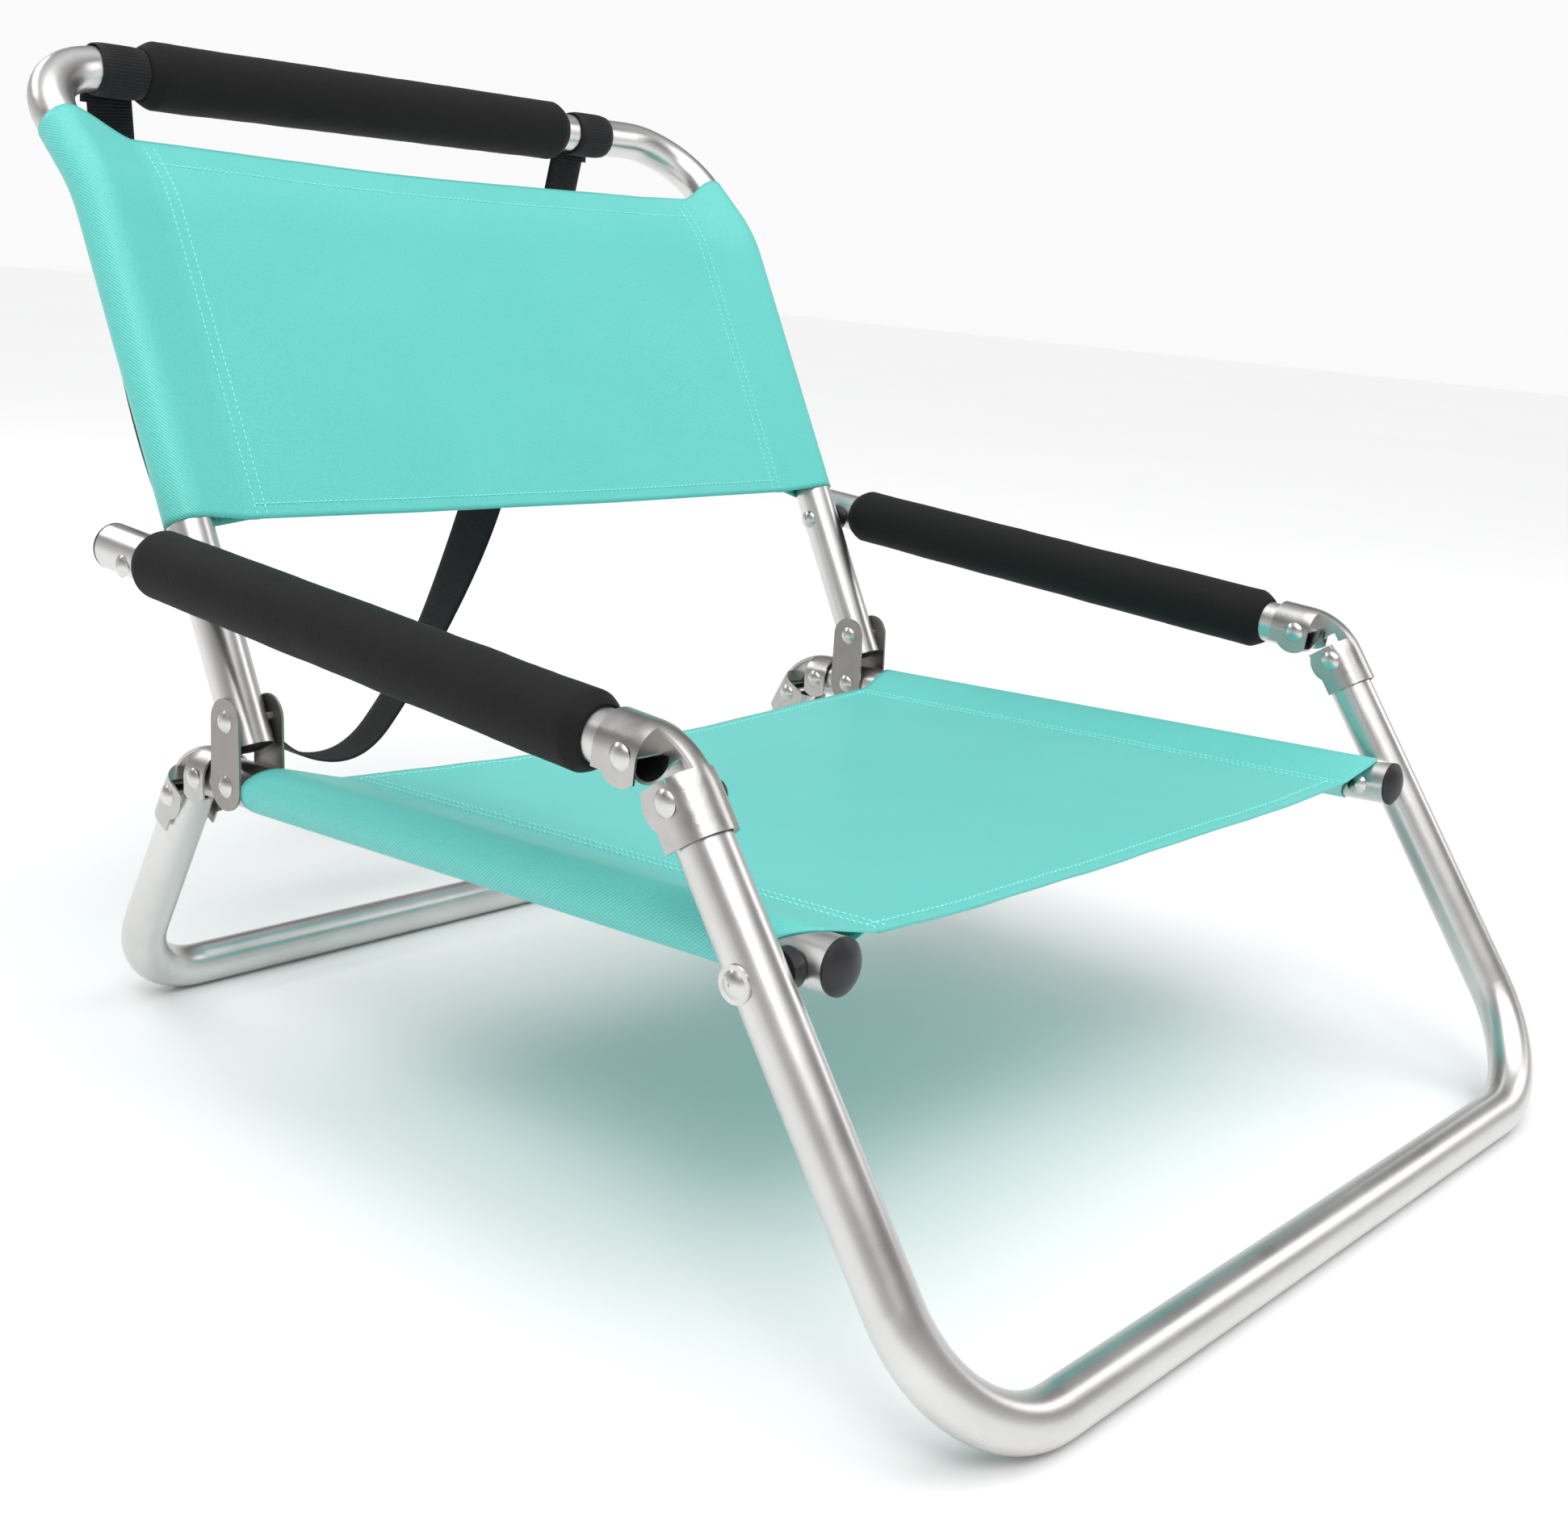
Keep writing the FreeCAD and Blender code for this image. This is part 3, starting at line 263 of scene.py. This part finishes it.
def twill_cloth():
    """Turquoise polyester twill: diagonal ribs, crossing threads, specks and broad unevenness."""
    finish = Finish("twill_cloth")
    where = finish.coordinates("UV")
    twill = finish.bands(where, 1.35 * MM, math.radians(-38), 0.6)
    warp = finish.bands(where, 0.62 * MM, 0.0, 0.8)
    specks = finish.noise(where, 900, 3, 0.7)
    broad = finish.noise(where, 9, 4)
    weave = finish.sum(twill, warp, 0.55)
    finish.bump(finish.sum(weave, specks, 1.1), 0.16 * MM, 0.85)
    thread = finish.blend(specks, (0.030, 0.360, 0.325), (0.170, 0.720, 0.660))
    ribbed = finish.blend(finish.between(twill, 0.0, 0.50), thread, (0.250, 0.860, 0.800))
    uneven = finish.blend(finish.between(broad, 0.0, 0.30), ribbed, (0.045, 0.460, 0.410))
    return finish.set(Base_Color=uneven, Roughness=finish.between(specks, 0.38, 0.56),
                      Sheen_Weight=0.22, Sheen_Roughness=0.3, Sheen_Tint=(0.35, 1.0, 0.92), IOR=1.45,
                      Coat_Weight=0.30, Coat_Roughness=0.36, Specular_IOR_Level=0.42)


def stitch_thread():
    """Polyester thread, a little lighter than the cloth."""
    finish = Finish("stitch_thread")
    where = finish.coordinates()
    lay = finish.noise(where, 1600, 2)
    finish.bump(lay, 0.05 * MM, 0.6)
    return finish.set(Base_Color=finish.blend(lay, (0.20, 0.80, 0.74), (0.48, 1.0, 0.95)), Roughness=0.5,
                      Sheen_Weight=0.3)


def webbing_cloth():
    """Black webbing: ribs across its length come from its shape, thread detail from here."""
    finish = Finish("black_webbing")
    where = finish.coordinates("UV")
    across = finish.bands(where, 1.1 * MM, 0.0, 0.5)
    fuzz = finish.noise(where, 1300, 3)
    finish.bump(finish.sum(across, fuzz, 0.8), 0.14 * MM, 0.8)
    return finish.set(Base_Color=finish.blend(fuzz, (0.003, 0.003, 0.0035), (0.014, 0.014, 0.016)),
                      Roughness=finish.between(across, 0.48, 0.75), Sheen_Weight=0.06, Sheen_Roughness=0.4,
                      Specular_IOR_Level=0.3)


def floor_paint():
    """Plain pale studio floor."""
    finish = Finish("studio_floor")
    cloudy = finish.noise(finish.coordinates(), 1.3, 3)
    return finish.set(Base_Color=finish.blend(cloudy, (0.86, 0.86, 0.86), (0.89, 0.89, 0.89)),
                      Roughness=0.8)


TUBE = tube_metal()
KNUCKLE = stamped_metal("knuckle_metal", (0.42, 0.405, 0.385), (0.60, 0.59, 0.575), 0.28)
PLATE = stamped_metal("plate_metal", (0.26, 0.245, 0.23), (0.38, 0.365, 0.35), 0.38)
RIVET = stamped_metal("rivet_metal", (0.50, 0.49, 0.48), (0.80, 0.79, 0.78), 0.26)
PLASTIC = black_plastic()
FOAM = foam_rubber()
TWILL = twill_cloth()
THREAD = stitch_thread()
BLACK_WEBBING = webbing_cloth()


def paint_frame():
    """Give every CAD node the finish of the first word that its name holds."""
    kinds = (("washer", RIVET), ("rivets", RIVET), ("bracket", PLATE), ("link", KNUCKLE),
             ("plug", PLASTIC), ("cap", PLASTIC), ("spacer", PLASTIC), ("frame", TUBE), ("tube", TUBE))
    for name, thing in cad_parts.items():
        material = next((finish for word, finish in kinds if word in name), TUBE)
        thing.data.materials.clear()
        thing.data.materials.append(material)


# ---------------------------------------------------------------- mesh helpers

def new_piece(name, vertices, faces, material, uvs=None, smooth=True):
    """A mesh object with one material; uvs gives one (u, v) in metres for each vertex."""
    mesh = bpy.data.meshes.new(name)
    mesh.from_pydata([tuple(vertex) for vertex in vertices], [], faces)
    mesh.materials.append(material)
    if uvs:
        layer = mesh.uv_layers.new(name="UVMap")
        for loop in mesh.loops:
            layer.data[loop.index].uv = uvs[loop.vertex_index]
    for polygon in mesh.polygons:
        polygon.use_smooth = smooth
    mesh.validate()
    thing = bpy.data.objects.new(name, mesh)
    bpy.context.scene.collection.objects.link(thing)
    return thing


def grid_faces(rows, columns, closed_rows=False, closed_columns=False):
    """Quads of a grid whose vertices run column by column within each row."""
    faces = []
    for row in range(rows if closed_rows else rows - 1):
        for column in range(columns if closed_columns else columns - 1):
            after_row = (row + 1) % rows
            after_column = (column + 1) % columns
            faces.append((row * columns + column, row * columns + after_column,
                          after_row * columns + after_column, after_row * columns + column))
    return faces


def reaches(places):
    """Distance along a chain of points, from its start to each of them."""
    total = [0.0]
    for before, after in zip(places, places[1:]):
        total.append(total[-1] + (after - before).length)
    return total


def thicken(thing, thickness):
    """Give a sheet its thickness, half on each side."""
    modifier = thing.modifiers.new("thickness", "SOLIDIFY")
    modifier.thickness = thickness
    modifier.offset = 0


def eased(value):
    """Smooth step from 0 to 1."""
    value = min(max(value, 0.0), 1.0)
    return value * value * (3 - 2 * value)


# ---------------------------------------------------------------- slings

class Sling:
    """Cloth with a sleeve round a tube on each side.

    The section runs from the hem under the left seam, round the left tube, across the sitting face and
    round the right tube. Each station of the left half has its place (x, height above the tube axes) and
    the distances along the tube at which the cloth starts and ends there.
    """

    ARC_STEPS = 22
    FLAT_STEPS = 8
    FACE_STEPS = 44
    RIPPLE = 1.1 * MM
    FINE_RIPPLE = 0.35 * MM

    def __init__(self, axis, starts, ends, face_height, sag, seed):
        self.axis = axis
        self.sag = sag
        self.seed = seed
        self.seam_x = SIDE - SEAM_IN
        half = self.half_section(face_height, starts, ends)
        mirrored = [(-x, height, start, end) for x, height, start, end in reversed(half[:-1])]
        self.stations = half + mirrored
        self.lengths = [0.0]
        for before, after in zip(self.stations, self.stations[1:]):
            step = math.hypot(after[0] - before[0], after[1] - before[1])
            self.lengths.append(self.lengths[-1] + step)

    def half_section(self, face_height, starts, ends):
        """Stations from the left hem to the middle of the face."""
        seam = Vector((-self.seam_x, face_height))
        under = Vector((-self.seam_x, face_height - CLOTH * 1.25))
        centre = Vector((-SIDE, 0.0))

        def tangent(point, side):
            away = point - centre
            opening = math.acos(CLOTH_RADIUS / away.length)
            return math.atan2(away.y, away.x) + side * opening

        bottom = tangent(under, -1)
        top = tangent(seam, 1)

        def on_tube(angle):
            return centre + Vector((math.cos(angle), math.sin(angle))) * CLOTH_RADIUS

        arc_length = math.tau - (top - bottom)
        keys = ["hem", "under", "bottom", "outer", "top", "seam", "middle"]
        places = [under + Vector((SEAM_HEM, 0)), under, on_tube(bottom), None, on_tube(top), seam,
                  Vector((0, face_height))]
        stations = []
        for index, (first, last) in enumerate(zip(keys, keys[1:])):
            round_tube = "outer" in (first, last)
            if round_tube:
                steps = self.ARC_STEPS // 2
            elif first == "seam":
                steps = self.FACE_STEPS // 2
            else:
                steps = self.FLAT_STEPS
            for step in range(steps):
                share = step / steps
                if round_tube:
                    turned = share / 2 + (0.5 if first == "outer" else 0.0)
                    place = on_tube(bottom - arc_length * turned)
                else:
                    place = places[index].lerp(places[index + 1], share)
                ease = eased(share)
                start = starts[first] + (starts[last] - starts[first]) * ease
                end = ends[first] + (ends[last] - ends[first]) * ease
                stations.append((place.x, place.y, start, end))
        stations.append((0.0, face_height, starts["middle"], ends["middle"]))
        return stations

    def point(self, station, share, lift=0.0):
        """A point of the cloth, and its normal, at a share of the way along the tubes."""
        x, height, start, end = station
        distance = start + (end - start) * share
        place, normal = self.axis(distance)
        inward = max(0.0, 1 - abs(x) / self.seam_x)
        droop = self.sag * (1 - (1 - inward) ** 2)
        ripple = 0.0
        if inward > 0:
            flow = Vector((x * 9, distance * 7, self.seed))
            ripple = self.RIPPLE * noise.noise(flow) * eased(inward * 5)
            ripple += self.FINE_RIPPLE * noise.noise(flow * 4.3) * eased(inward * 8)
        return place + Vector((x, 0, 0)) + normal * (height - droop + ripple + lift), normal

    def face_station(self, x):
        """Station of the sitting face at x, for hems and stitches."""
        face = [station for station in self.stations[self.first_face():] if station[0] >= -self.seam_x]
        for before, after in zip(face, face[1:]):
            if before[0] <= x <= after[0]:
                share = (x - before[0]) / max(after[0] - before[0], 1e-9)
                return tuple(a + (b - a) * share for a, b in zip(before, after))
        return face[-1] if x > 0 else face[0]

    def first_face(self):
        """Index of the left seam on the face side."""
        return self.FLAT_STEPS * 2 + self.ARC_STEPS + self.FLAT_STEPS

    def build(self, name, rows):
        """The cloth as one thin closed piece."""
        vertices, uvs = [], []
        for row in range(rows):
            share = row / (rows - 1)
            for station, length in zip(self.stations, self.lengths):
                vertices.append(self.point(station, share)[0])
                uvs.append((length, station[2] + (station[3] - station[2]) * share))
        thing = new_piece(name, vertices, grid_faces(rows, len(self.stations)), TWILL, uvs)
        thicken(thing, CLOTH)
        return thing

    def flat_area(self):
        """Area of the cut cloth, laid flat."""
        area = 0.0
        for index in range(len(self.stations) - 1):
            width = self.lengths[index + 1] - self.lengths[index]
            spans = [self.stations[side][3] - self.stations[side][2] for side in (index, index + 1)]
            area += width * sum(spans) / 2
        return area

    def hem(self, name, at_start, hem_width, columns=90):
        """The folded edge under the face: a narrow second layer, thicker at the fold."""
        reach = self.seam_x - 4 * MM
        vertices, uvs = [], []
        profile = [(0.3 * MM, -0.2 * MM), (0.9 * MM, -1.05 * MM), (4 * MM, -0.98 * MM),
                   (hem_width, -0.92 * MM)]
        for inset, lift in profile:
            for column in range(columns):
                x = -reach + 2 * reach * column / (columns - 1)
                station = self.face_station(x)
                span = station[3] - station[2]
                share = inset / span if at_start else 1 - inset / span
                vertices.append(self.point(station, share, lift)[0])
                uvs.append((x, inset))
        thing = new_piece(name, vertices, grid_faces(len(profile), columns), TWILL, uvs)
        thicken(thing, CLOTH * 0.9)
        return thing


def stitches(name, track, pitch=3.6 * MM, length=2.6 * MM, radius=0.40 * MM):
    """A row of thread stitches along a track of (point, normal), each a small bead that dips at its ends."""
    total = reaches([point for point, _ in track])
    lead = 0.2 * MM

    def place(distance):
        index = next((k for k, reach in enumerate(total) if reach >= distance), len(total) - 1)
        index = max(index, 1)
        span = total[index] - total[index - 1]
        share = (distance - total[index - 1]) / span
        return track[index - 1][0].lerp(track[index][0], share), track[index][1]

    vertices, faces = [], []
    rings, sides = 5, 6
    for number in range(int(total[-1] / pitch)):
        first, normal = place(number * pitch + lead)
        last, _ = place(min(number * pitch + lead + length, total[-1]))
        along = last - first
        if along.length < length / 2:
            continue
        across = along.normalized().cross(normal)
        base = len(vertices)
        for ring in range(rings):
            share = ring / (rings - 1)
            swell = 0.35 + 0.65 * math.sin(math.pi * share)
            centre = first + along * share + normal * (radius * 0.9 * math.sin(math.pi * share))
            for side in range(sides):
                angle = math.tau * side / sides
                offset = across * math.cos(angle) + normal * math.sin(angle)
                vertices.append(centre + offset * radius * swell)
        for face in grid_faces(rings, sides, closed_columns=True):
            faces.append(tuple(base + corner for corner in face))
        faces.append(tuple(base + side for side in reversed(range(sides))))
        faces.append(tuple(base + (rings - 1) * sides + side for side in range(sides)))
    return new_piece(name, vertices, faces, THREAD)


def sew(sling, name, body, hems):
    """Seam and hem stitches of a sling."""
    lift = CLOTH / 2
    margin = 0.008                      # share of the seam left free at each end
    seam_steps, hem_steps = 120, 160
    made = []
    for side in (-1, 1):
        for number, x in enumerate(SEAM_STITCHES):
            station = sling.face_station(side * x)
            track = [sling.point(station, margin + (1 - 2 * margin) * step / seam_steps, lift)
                     for step in range(seam_steps + 1)]
            made.append(stitches(f"{name}_seam_{'left' if side < 0 else 'right'}_{number + 1}", track))
    reach = sling.seam_x - 5 * MM
    for label, at_start, hem_width in hems:
        track = []
        for step in range(hem_steps + 1):
            x = -reach + 2 * reach * step / hem_steps
            station = sling.face_station(x)
            inset = (hem_width - 2.5 * MM) / (station[3] - station[2])
            track.append(sling.point(station, inset if at_start else 1 - inset, lift))
        made.append(stitches(f"{name}_hem_{label}", track))
    for thing in made:
        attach(thing, body)
    return made


def make_sling(name, node, body, sling, rows, high_hem=HEM_WIDTH):
    """A sling with its folded edges and stitches, in place of its plain solid."""
    hems = (("low", True, HEM_WIDTH), ("high", False, high_hem))
    cloth = sling.build(name, rows)
    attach(cloth, body)
    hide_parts(node)
    extras = sew(sling, name, body, hems)
    for label, at_start, hem_width in hems:
        hem = sling.hem(f"{name}_fold_{label}", at_start, hem_width)
        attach(hem, body)
        extras.append(hem)
    sling.flat_area()


def seat_cloth():
    """The seat: narrower at the front corners, and hollowed at the rear between the uprights."""
    starts = {"hem": 17 * MM, "under": 16 * MM, "bottom": 26 * MM, "outer": 34 * MM, "top": 9 * MM,
              "seam": 11 * MM, "middle": 14 * MM}
    ends = {"hem": 372 * MM, "under": 374 * MM, "bottom": 392 * MM, "outer": 396 * MM, "top": 381 * MM,
            "seam": 374 * MM, "middle": 364 * MM}
    sling = Sling(seat_axis, starts, ends, 4.5 * MM, 5 * MM, 3.1)
    make_sling("seat_cloth", "seat_sling", "root", sling, 90)


def back_cloth():
    """The back: level below, and rising over the uprights at the top."""
    ends = {"hem": BEND_AT + 30 * MM, "under": BEND_AT + 31 * MM, "bottom": BEND_AT + 40 * MM,
            "outer": BEND_AT + 44 * MM, "top": BEND_AT + 47 * MM, "seam": BEND_AT + 34 * MM,
            "middle": BEND_AT + 33 * MM}
    starts = dict.fromkeys(ends, 124.5 * MM)
    sling = Sling(back_axis, starts, ends, 4.0 * MM, 4 * MM, 8.7)
    make_sling("back_cloth", "back_sling", "backrest", sling, 70, high_hem=21 * MM)


# ---------------------------------------------------------------- foam grips

def grip(name, node, body, start, direction, length, radius, seed):
    """A foam tube with soft chamfered ends and slightly uneven skin."""
    bore = TUBE_RADIUS + FOAM_FIT
    neck = radius - FOAM_CHAMFER_DEPTH
    lip = 1.2 * MM                      # length of the rounded edge before the chamfer
    chamfer_steps, segments = 8, 72
    profile = [(0.0, bore), (0.0, bore + 0.9 * MM), (-0.2 * MM, neck - 1.2 * MM),
               (0.3 * MM, neck - 0.3 * MM), (lip, neck + 0.5 * MM)]
    for step in range(1, chamfer_steps + 1):
        share = step / chamfer_steps
        profile.append((lip + (FOAM_CHAMFER_LENGTH - lip) * share,
                        radius - (FOAM_CHAMFER_DEPTH - 0.5 * MM) * (1 - share) ** 1.25))
    inner_steps = max(int(length / (4 * MM)), 20)
    inner_length = length - 2 * FOAM_CHAMFER_LENGTH
    body_rows = [(FOAM_CHAMFER_LENGTH + inner_length * step / inner_steps, radius)
                 for step in range(1, inner_steps)]
    profile = profile + body_rows + [(length - along, r) for along, r in reversed(profile)]
    across = direction.orthogonal().normalized()
    other = direction.cross(across)
    vertices = []
    for along, r in profile:
        for segment in range(segments):
            angle = math.tau * segment / segments
            outward = across * math.cos(angle) + other * math.sin(angle)
            place = start + direction * along + outward * r
            uneven = 0.0
            if r > bore + 1 * MM:
                uneven = 0.35 * MM * noise.noise(place * 38 + Vector((seed, 0, 0)))
                uneven += 0.10 * MM * noise.noise(place * 210 + Vector((seed, 0, 0))) - 0.2 * MM
            vertices.append(place + outward * uneven)
    faces = grid_faces(len(profile), segments, closed_rows=True, closed_columns=True)
    thing = new_piece(name, vertices, faces, FOAM)
    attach(thing, body)
    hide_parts(node)


def foam_grips():
    """Both armrests and the grip on the top rail, where their plain solids are."""
    for name in ("left", "right"):
        low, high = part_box(f"arm_grip_{name}")
        radius = (high[0] - low[0]) / 2
        neck = radius - FOAM_CHAMFER_DEPTH
        direction = heading(ARM_SLOPE)
        x = (low[0] + high[0]) / 2
        length = (high[1] - low[1] - 2 * neck * math.sin(ARM_SLOPE)) / math.cos(ARM_SLOPE)
        middle = Vector((x, (low[1] + high[1]) / 2, (low[2] + high[2]) / 2))
        start = middle - direction * length / 2
        grip(f"arm_foam_{name}", f"arm_grip_{name}", f"arm_{name}", start, direction, length, radius,
             1.7 if name == "left" else 5.9)
    low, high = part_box("back_grip")
    grip("rail_foam", "back_grip", "backrest", Vector((low[0], RAIL.y, RAIL.z)), Vector((1, 0, 0)),
         high[0] - low[0], (high[2] - low[2]) / 2, 9.3)


# ---------------------------------------------------------------- webbing

def ribbon(name, places, widths, normals, closed=False):
    """Webbing along a track, ribbed across its length; one place, width direction and normal for each row."""
    columns = 9
    rows = len(places)
    vertices, uvs = [], []
    half = WEBBING / 2
    for place, width, normal, travelled in zip(places, widths, normals, reaches(places)):
        rib = 0.30 * MM * math.cos(math.tau * travelled / RIB_PITCH)
        for side in (1, -1):
            for column in range(columns):
                share = column / (columns - 1)
                if side < 0:
                    share = 1 - share
                edge = abs(2 * share - 1)
                swell = half * (1 - 0.55 * edge ** 6) + rib * (1 - edge ** 4)
                vertices.append(place + width * (share - 0.5) * WEBBING_WIDTH + normal * side * swell)
                uvs.append((share * WEBBING_WIDTH, travelled))
    faces = grid_faces(rows, 2 * columns, closed_rows=closed, closed_columns=True)
    if not closed:
        faces.append(tuple(reversed(range(2 * columns))))
        faces.append(tuple((rows - 1) * 2 * columns + k for k in range(2 * columns)))
    return new_piece(name, vertices, faces, BLACK_WEBBING, uvs)


def strap_loops():
    """Webbing sewn round the rail on each side of the grip, with the tail that the strap leaves from."""
    steps_round, steps_down = 280, 60
    for name in ("left", "right"):
        low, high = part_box(f"strap_loop_{name}")
        x = (low[0] + high[0]) / 2
        places, normals = [], []
        for step in range(steps_round + 1):
            angle = math.tau * step / steps_round
            normal = Vector((0, math.cos(angle), math.sin(angle)))
            swell = 1.0 if step < steps_round * 0.75 else 1.0 + 0.03 * (step / steps_round - 0.75)
            places.append(Vector((x, RAIL.y, RAIL.z)) + normal * LOOP_RADIUS * swell)
            normals.append(normal)
        for step in range(1, steps_down + 1):
            share = step / steps_down
            behind = RAIL.y + LOOP_RADIUS - 0.15 * MM * eased(share)
            places.append(Vector((x, behind, RAIL.z - LOOP_TAIL * share)))
            normals.append(Vector((0, 1, 0)))
        widths = [Vector((1, 0, 0))] * len(places)
        loop = ribbon(f"rail_loop_{name}", places, widths, normals)
        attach(loop, "backrest")
        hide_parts(f"strap_loop_{name}")


def route_curve(points):
    """The points that a smooth curve through the strap's route gives."""
    data = bpy.data.curves.new("strap_route", "CURVE")
    data.dimensions = "3D"
    data.resolution_u = 40
    spline = data.splines.new("NURBS")
    spline.points.add(len(points) - 1)
    for knot, point in zip(spline.points, points):
        knot.co = (*point, 1)
    spline.order_u = 3
    spline.use_endpoint_u = True
    thing = bpy.data.objects.new("strap_route", data)
    mesh = bpy.data.meshes.new_from_object(thing)
    places = [vertex.co.copy() for vertex in mesh.vertices]
    bpy.data.objects.remove(thing)
    bpy.data.curves.remove(data)
    bpy.data.meshes.remove(mesh)
    return places


def evenly(places, pitch):
    """Points a given distance apart along a chain of points."""
    total = reaches(places)
    count = int(total[-1] / pitch)
    made, index = [], 1
    for step in range(count + 1):
        distance = total[-1] * step / count
        while index < len(total) - 1 and total[index] < distance:
            index += 1
        share = (distance - total[index - 1]) / (total[index] - total[index - 1])
        made.append(places[index - 1].lerp(places[index], share))
    return made


def carry_strap():
    """The strap that hangs from loop to loop, turned flat at the bottom of its curve."""
    behind = RAIL.y + LOOP_RADIUS
    chain = route_curve([Vector((x * MM, behind, z * MM)) for x, z in STRAP_ROUTE])
    places = evenly(chain, RIB_PITCH / 4)
    rearward = Vector((0, 1, 0))
    widths, normals = [], []
    for index, place in enumerate(places):
        before = places[max(index - 1, 0)]
        after = places[min(index + 1, len(places) - 1)]
        along = (after - before).normalized()
        share = index / (len(places) - 1)
        turned = eased((share - 0.14) / 0.30)
        turned_back = eased((share - 0.58) / 0.30)
        twist = math.pi / 2 * turned * (1 - turned_back)
        sideways = along.cross(rearward).normalized()
        width = sideways * math.cos(twist) + rearward * math.sin(twist)
        widths.append(width)
        normals.append(along.cross(width).normalized())
    strap = ribbon("sling_strap", places, widths, normals)
    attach(strap, "backrest")
    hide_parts("carry_strap")


# ---------------------------------------------------------------- studio

CAMERA_PLACE = Vector((-0.8558, -0.7300, 0.4517))
CAMERA_TURN = math.radians(-50.0)
CAMERA_TILT = math.radians(14.3)
CAMERA_ROLL = math.radians(4.6)
LENS_MM = 45.76
SENSOR_MM = 36
FLOOR_HALF = 12                     # half the floor's side


def add_camera():
    """The viewpoint: in front, to one side, a little above the back, slightly rolled."""
    back = Vector((math.sin(CAMERA_TURN) * math.cos(CAMERA_TILT),
                   -math.cos(CAMERA_TURN) * math.cos(CAMERA_TILT), math.sin(CAMERA_TILT)))
    right = Vector((math.cos(CAMERA_TURN), math.sin(CAMERA_TURN), 0))
    up = back.cross(right)
    rolled_right = right * math.cos(CAMERA_ROLL) + up * math.sin(CAMERA_ROLL)
    rolled_up = up * math.cos(CAMERA_ROLL) - right * math.sin(CAMERA_ROLL)
    data = bpy.data.cameras.new("camera")
    data.lens = LENS_MM
    data.sensor_width = SENSOR_MM
    data.sensor_fit = "HORIZONTAL"
    data.clip_start = 0.05
    data.clip_end = 60
    camera = bpy.data.objects.new("camera", data)
    turn = Matrix((rolled_right, rolled_up, back)).transposed()
    camera.matrix_world = Matrix.Translation(CAMERA_PLACE) @ turn.to_4x4()
    bpy.context.scene.collection.objects.link(camera)
    bpy.context.scene.camera = camera


def add_light(name, place, target, size, power, colour=(1, 1, 1)):
    """A rectangular soft light that faces a target."""
    data = bpy.data.lights.new(name, "AREA")
    data.shape = "RECTANGLE"
    data.size, data.size_y = size
    data.energy = power
    data.color = colour
    light = bpy.data.objects.new(name, data)
    light.location = place
    light.rotation_euler = (Vector(target) - Vector(place)).to_track_quat("-Z", "Y").to_euler()
    bpy.context.scene.collection.objects.link(light)


def add_studio():
    """Pale floor, bright surroundings and a few large soft lights."""
    corners = [(x * FLOOR_HALF, y * FLOOR_HALF, 0) for x, y in ((-1, -1), (1, -1), (1, 1), (-1, 1))]
    floor = new_piece("floor", corners, [(0, 1, 2, 3)], floor_paint(), smooth=False)
    world = bpy.data.worlds.new("studio")
    world.use_nodes = True
    bpy.context.scene.view_settings.view_transform = "Standard"
    bpy.context.scene.world = world
    nodes, links = world.node_tree.nodes, world.node_tree.links
    background = nodes["Background"]
    coordinate = nodes.new("ShaderNodeTexCoord")
    split = nodes.new("ShaderNodeSeparateXYZ")
    ramp = nodes.new("ShaderNodeValToRGB")
    ramp.color_ramp.elements[0].position = 0.0
    ramp.color_ramp.elements[0].color = (0.80, 0.80, 0.80, 1)
    ramp.color_ramp.elements[1].position = 1.0
    ramp.color_ramp.elements[1].color = (0.85, 0.86, 0.88, 1)
    dark = ramp.color_ramp.elements.new(0.50)
    dark.color = (0.16, 0.155, 0.15, 1)
    links.new(coordinate.outputs["Generated"], split.inputs[0])
    links.new(split.outputs["Z"], ramp.inputs["Fac"])
    path = nodes.new("ShaderNodeLightPath")
    mix = nodes.new("ShaderNodeMix")
    mix.data_type = "RGBA"
    links.new(path.outputs["Is Camera Ray"], mix.inputs[MIX_FACTOR])
    links.new(ramp.outputs["Color"], mix.inputs[MIX_FIRST])
    mix.inputs[MIX_SECOND].default_value = (0.96, 0.96, 0.96, 1)
    links.new(mix.outputs[MIX_RESULT], background.inputs["Color"])
    background.inputs["Strength"].default_value = 1.0
    middle = (0, 0, 0.25)
    add_light("key", (-1.6, -1.5, 2.3), middle, (1.2, 0.9), 20)
    add_light("fill", (2.2, -1.2, 1.5), middle, (0.9, 1.4), 8)
    add_light("rear", (-0.6, 2.4, 1.9), middle, (2.0, 0.6), 14)
    sky = bpy.data.lights.new("sky", "SUN")
    sky.energy = 1.9
    sky.angle = math.radians(75)
    overhead = bpy.data.objects.new("sky", sky)
    overhead.rotation_euler = (math.radians(14), math.radians(-12), 0)
    bpy.context.scene.collection.objects.link(overhead)


# ---------------------------------------------------------------- the chair

add_camera()
carry_strap()
strap_loops()
paint_frame()
seat_cloth()
back_cloth()
foam_grips()
add_studio()
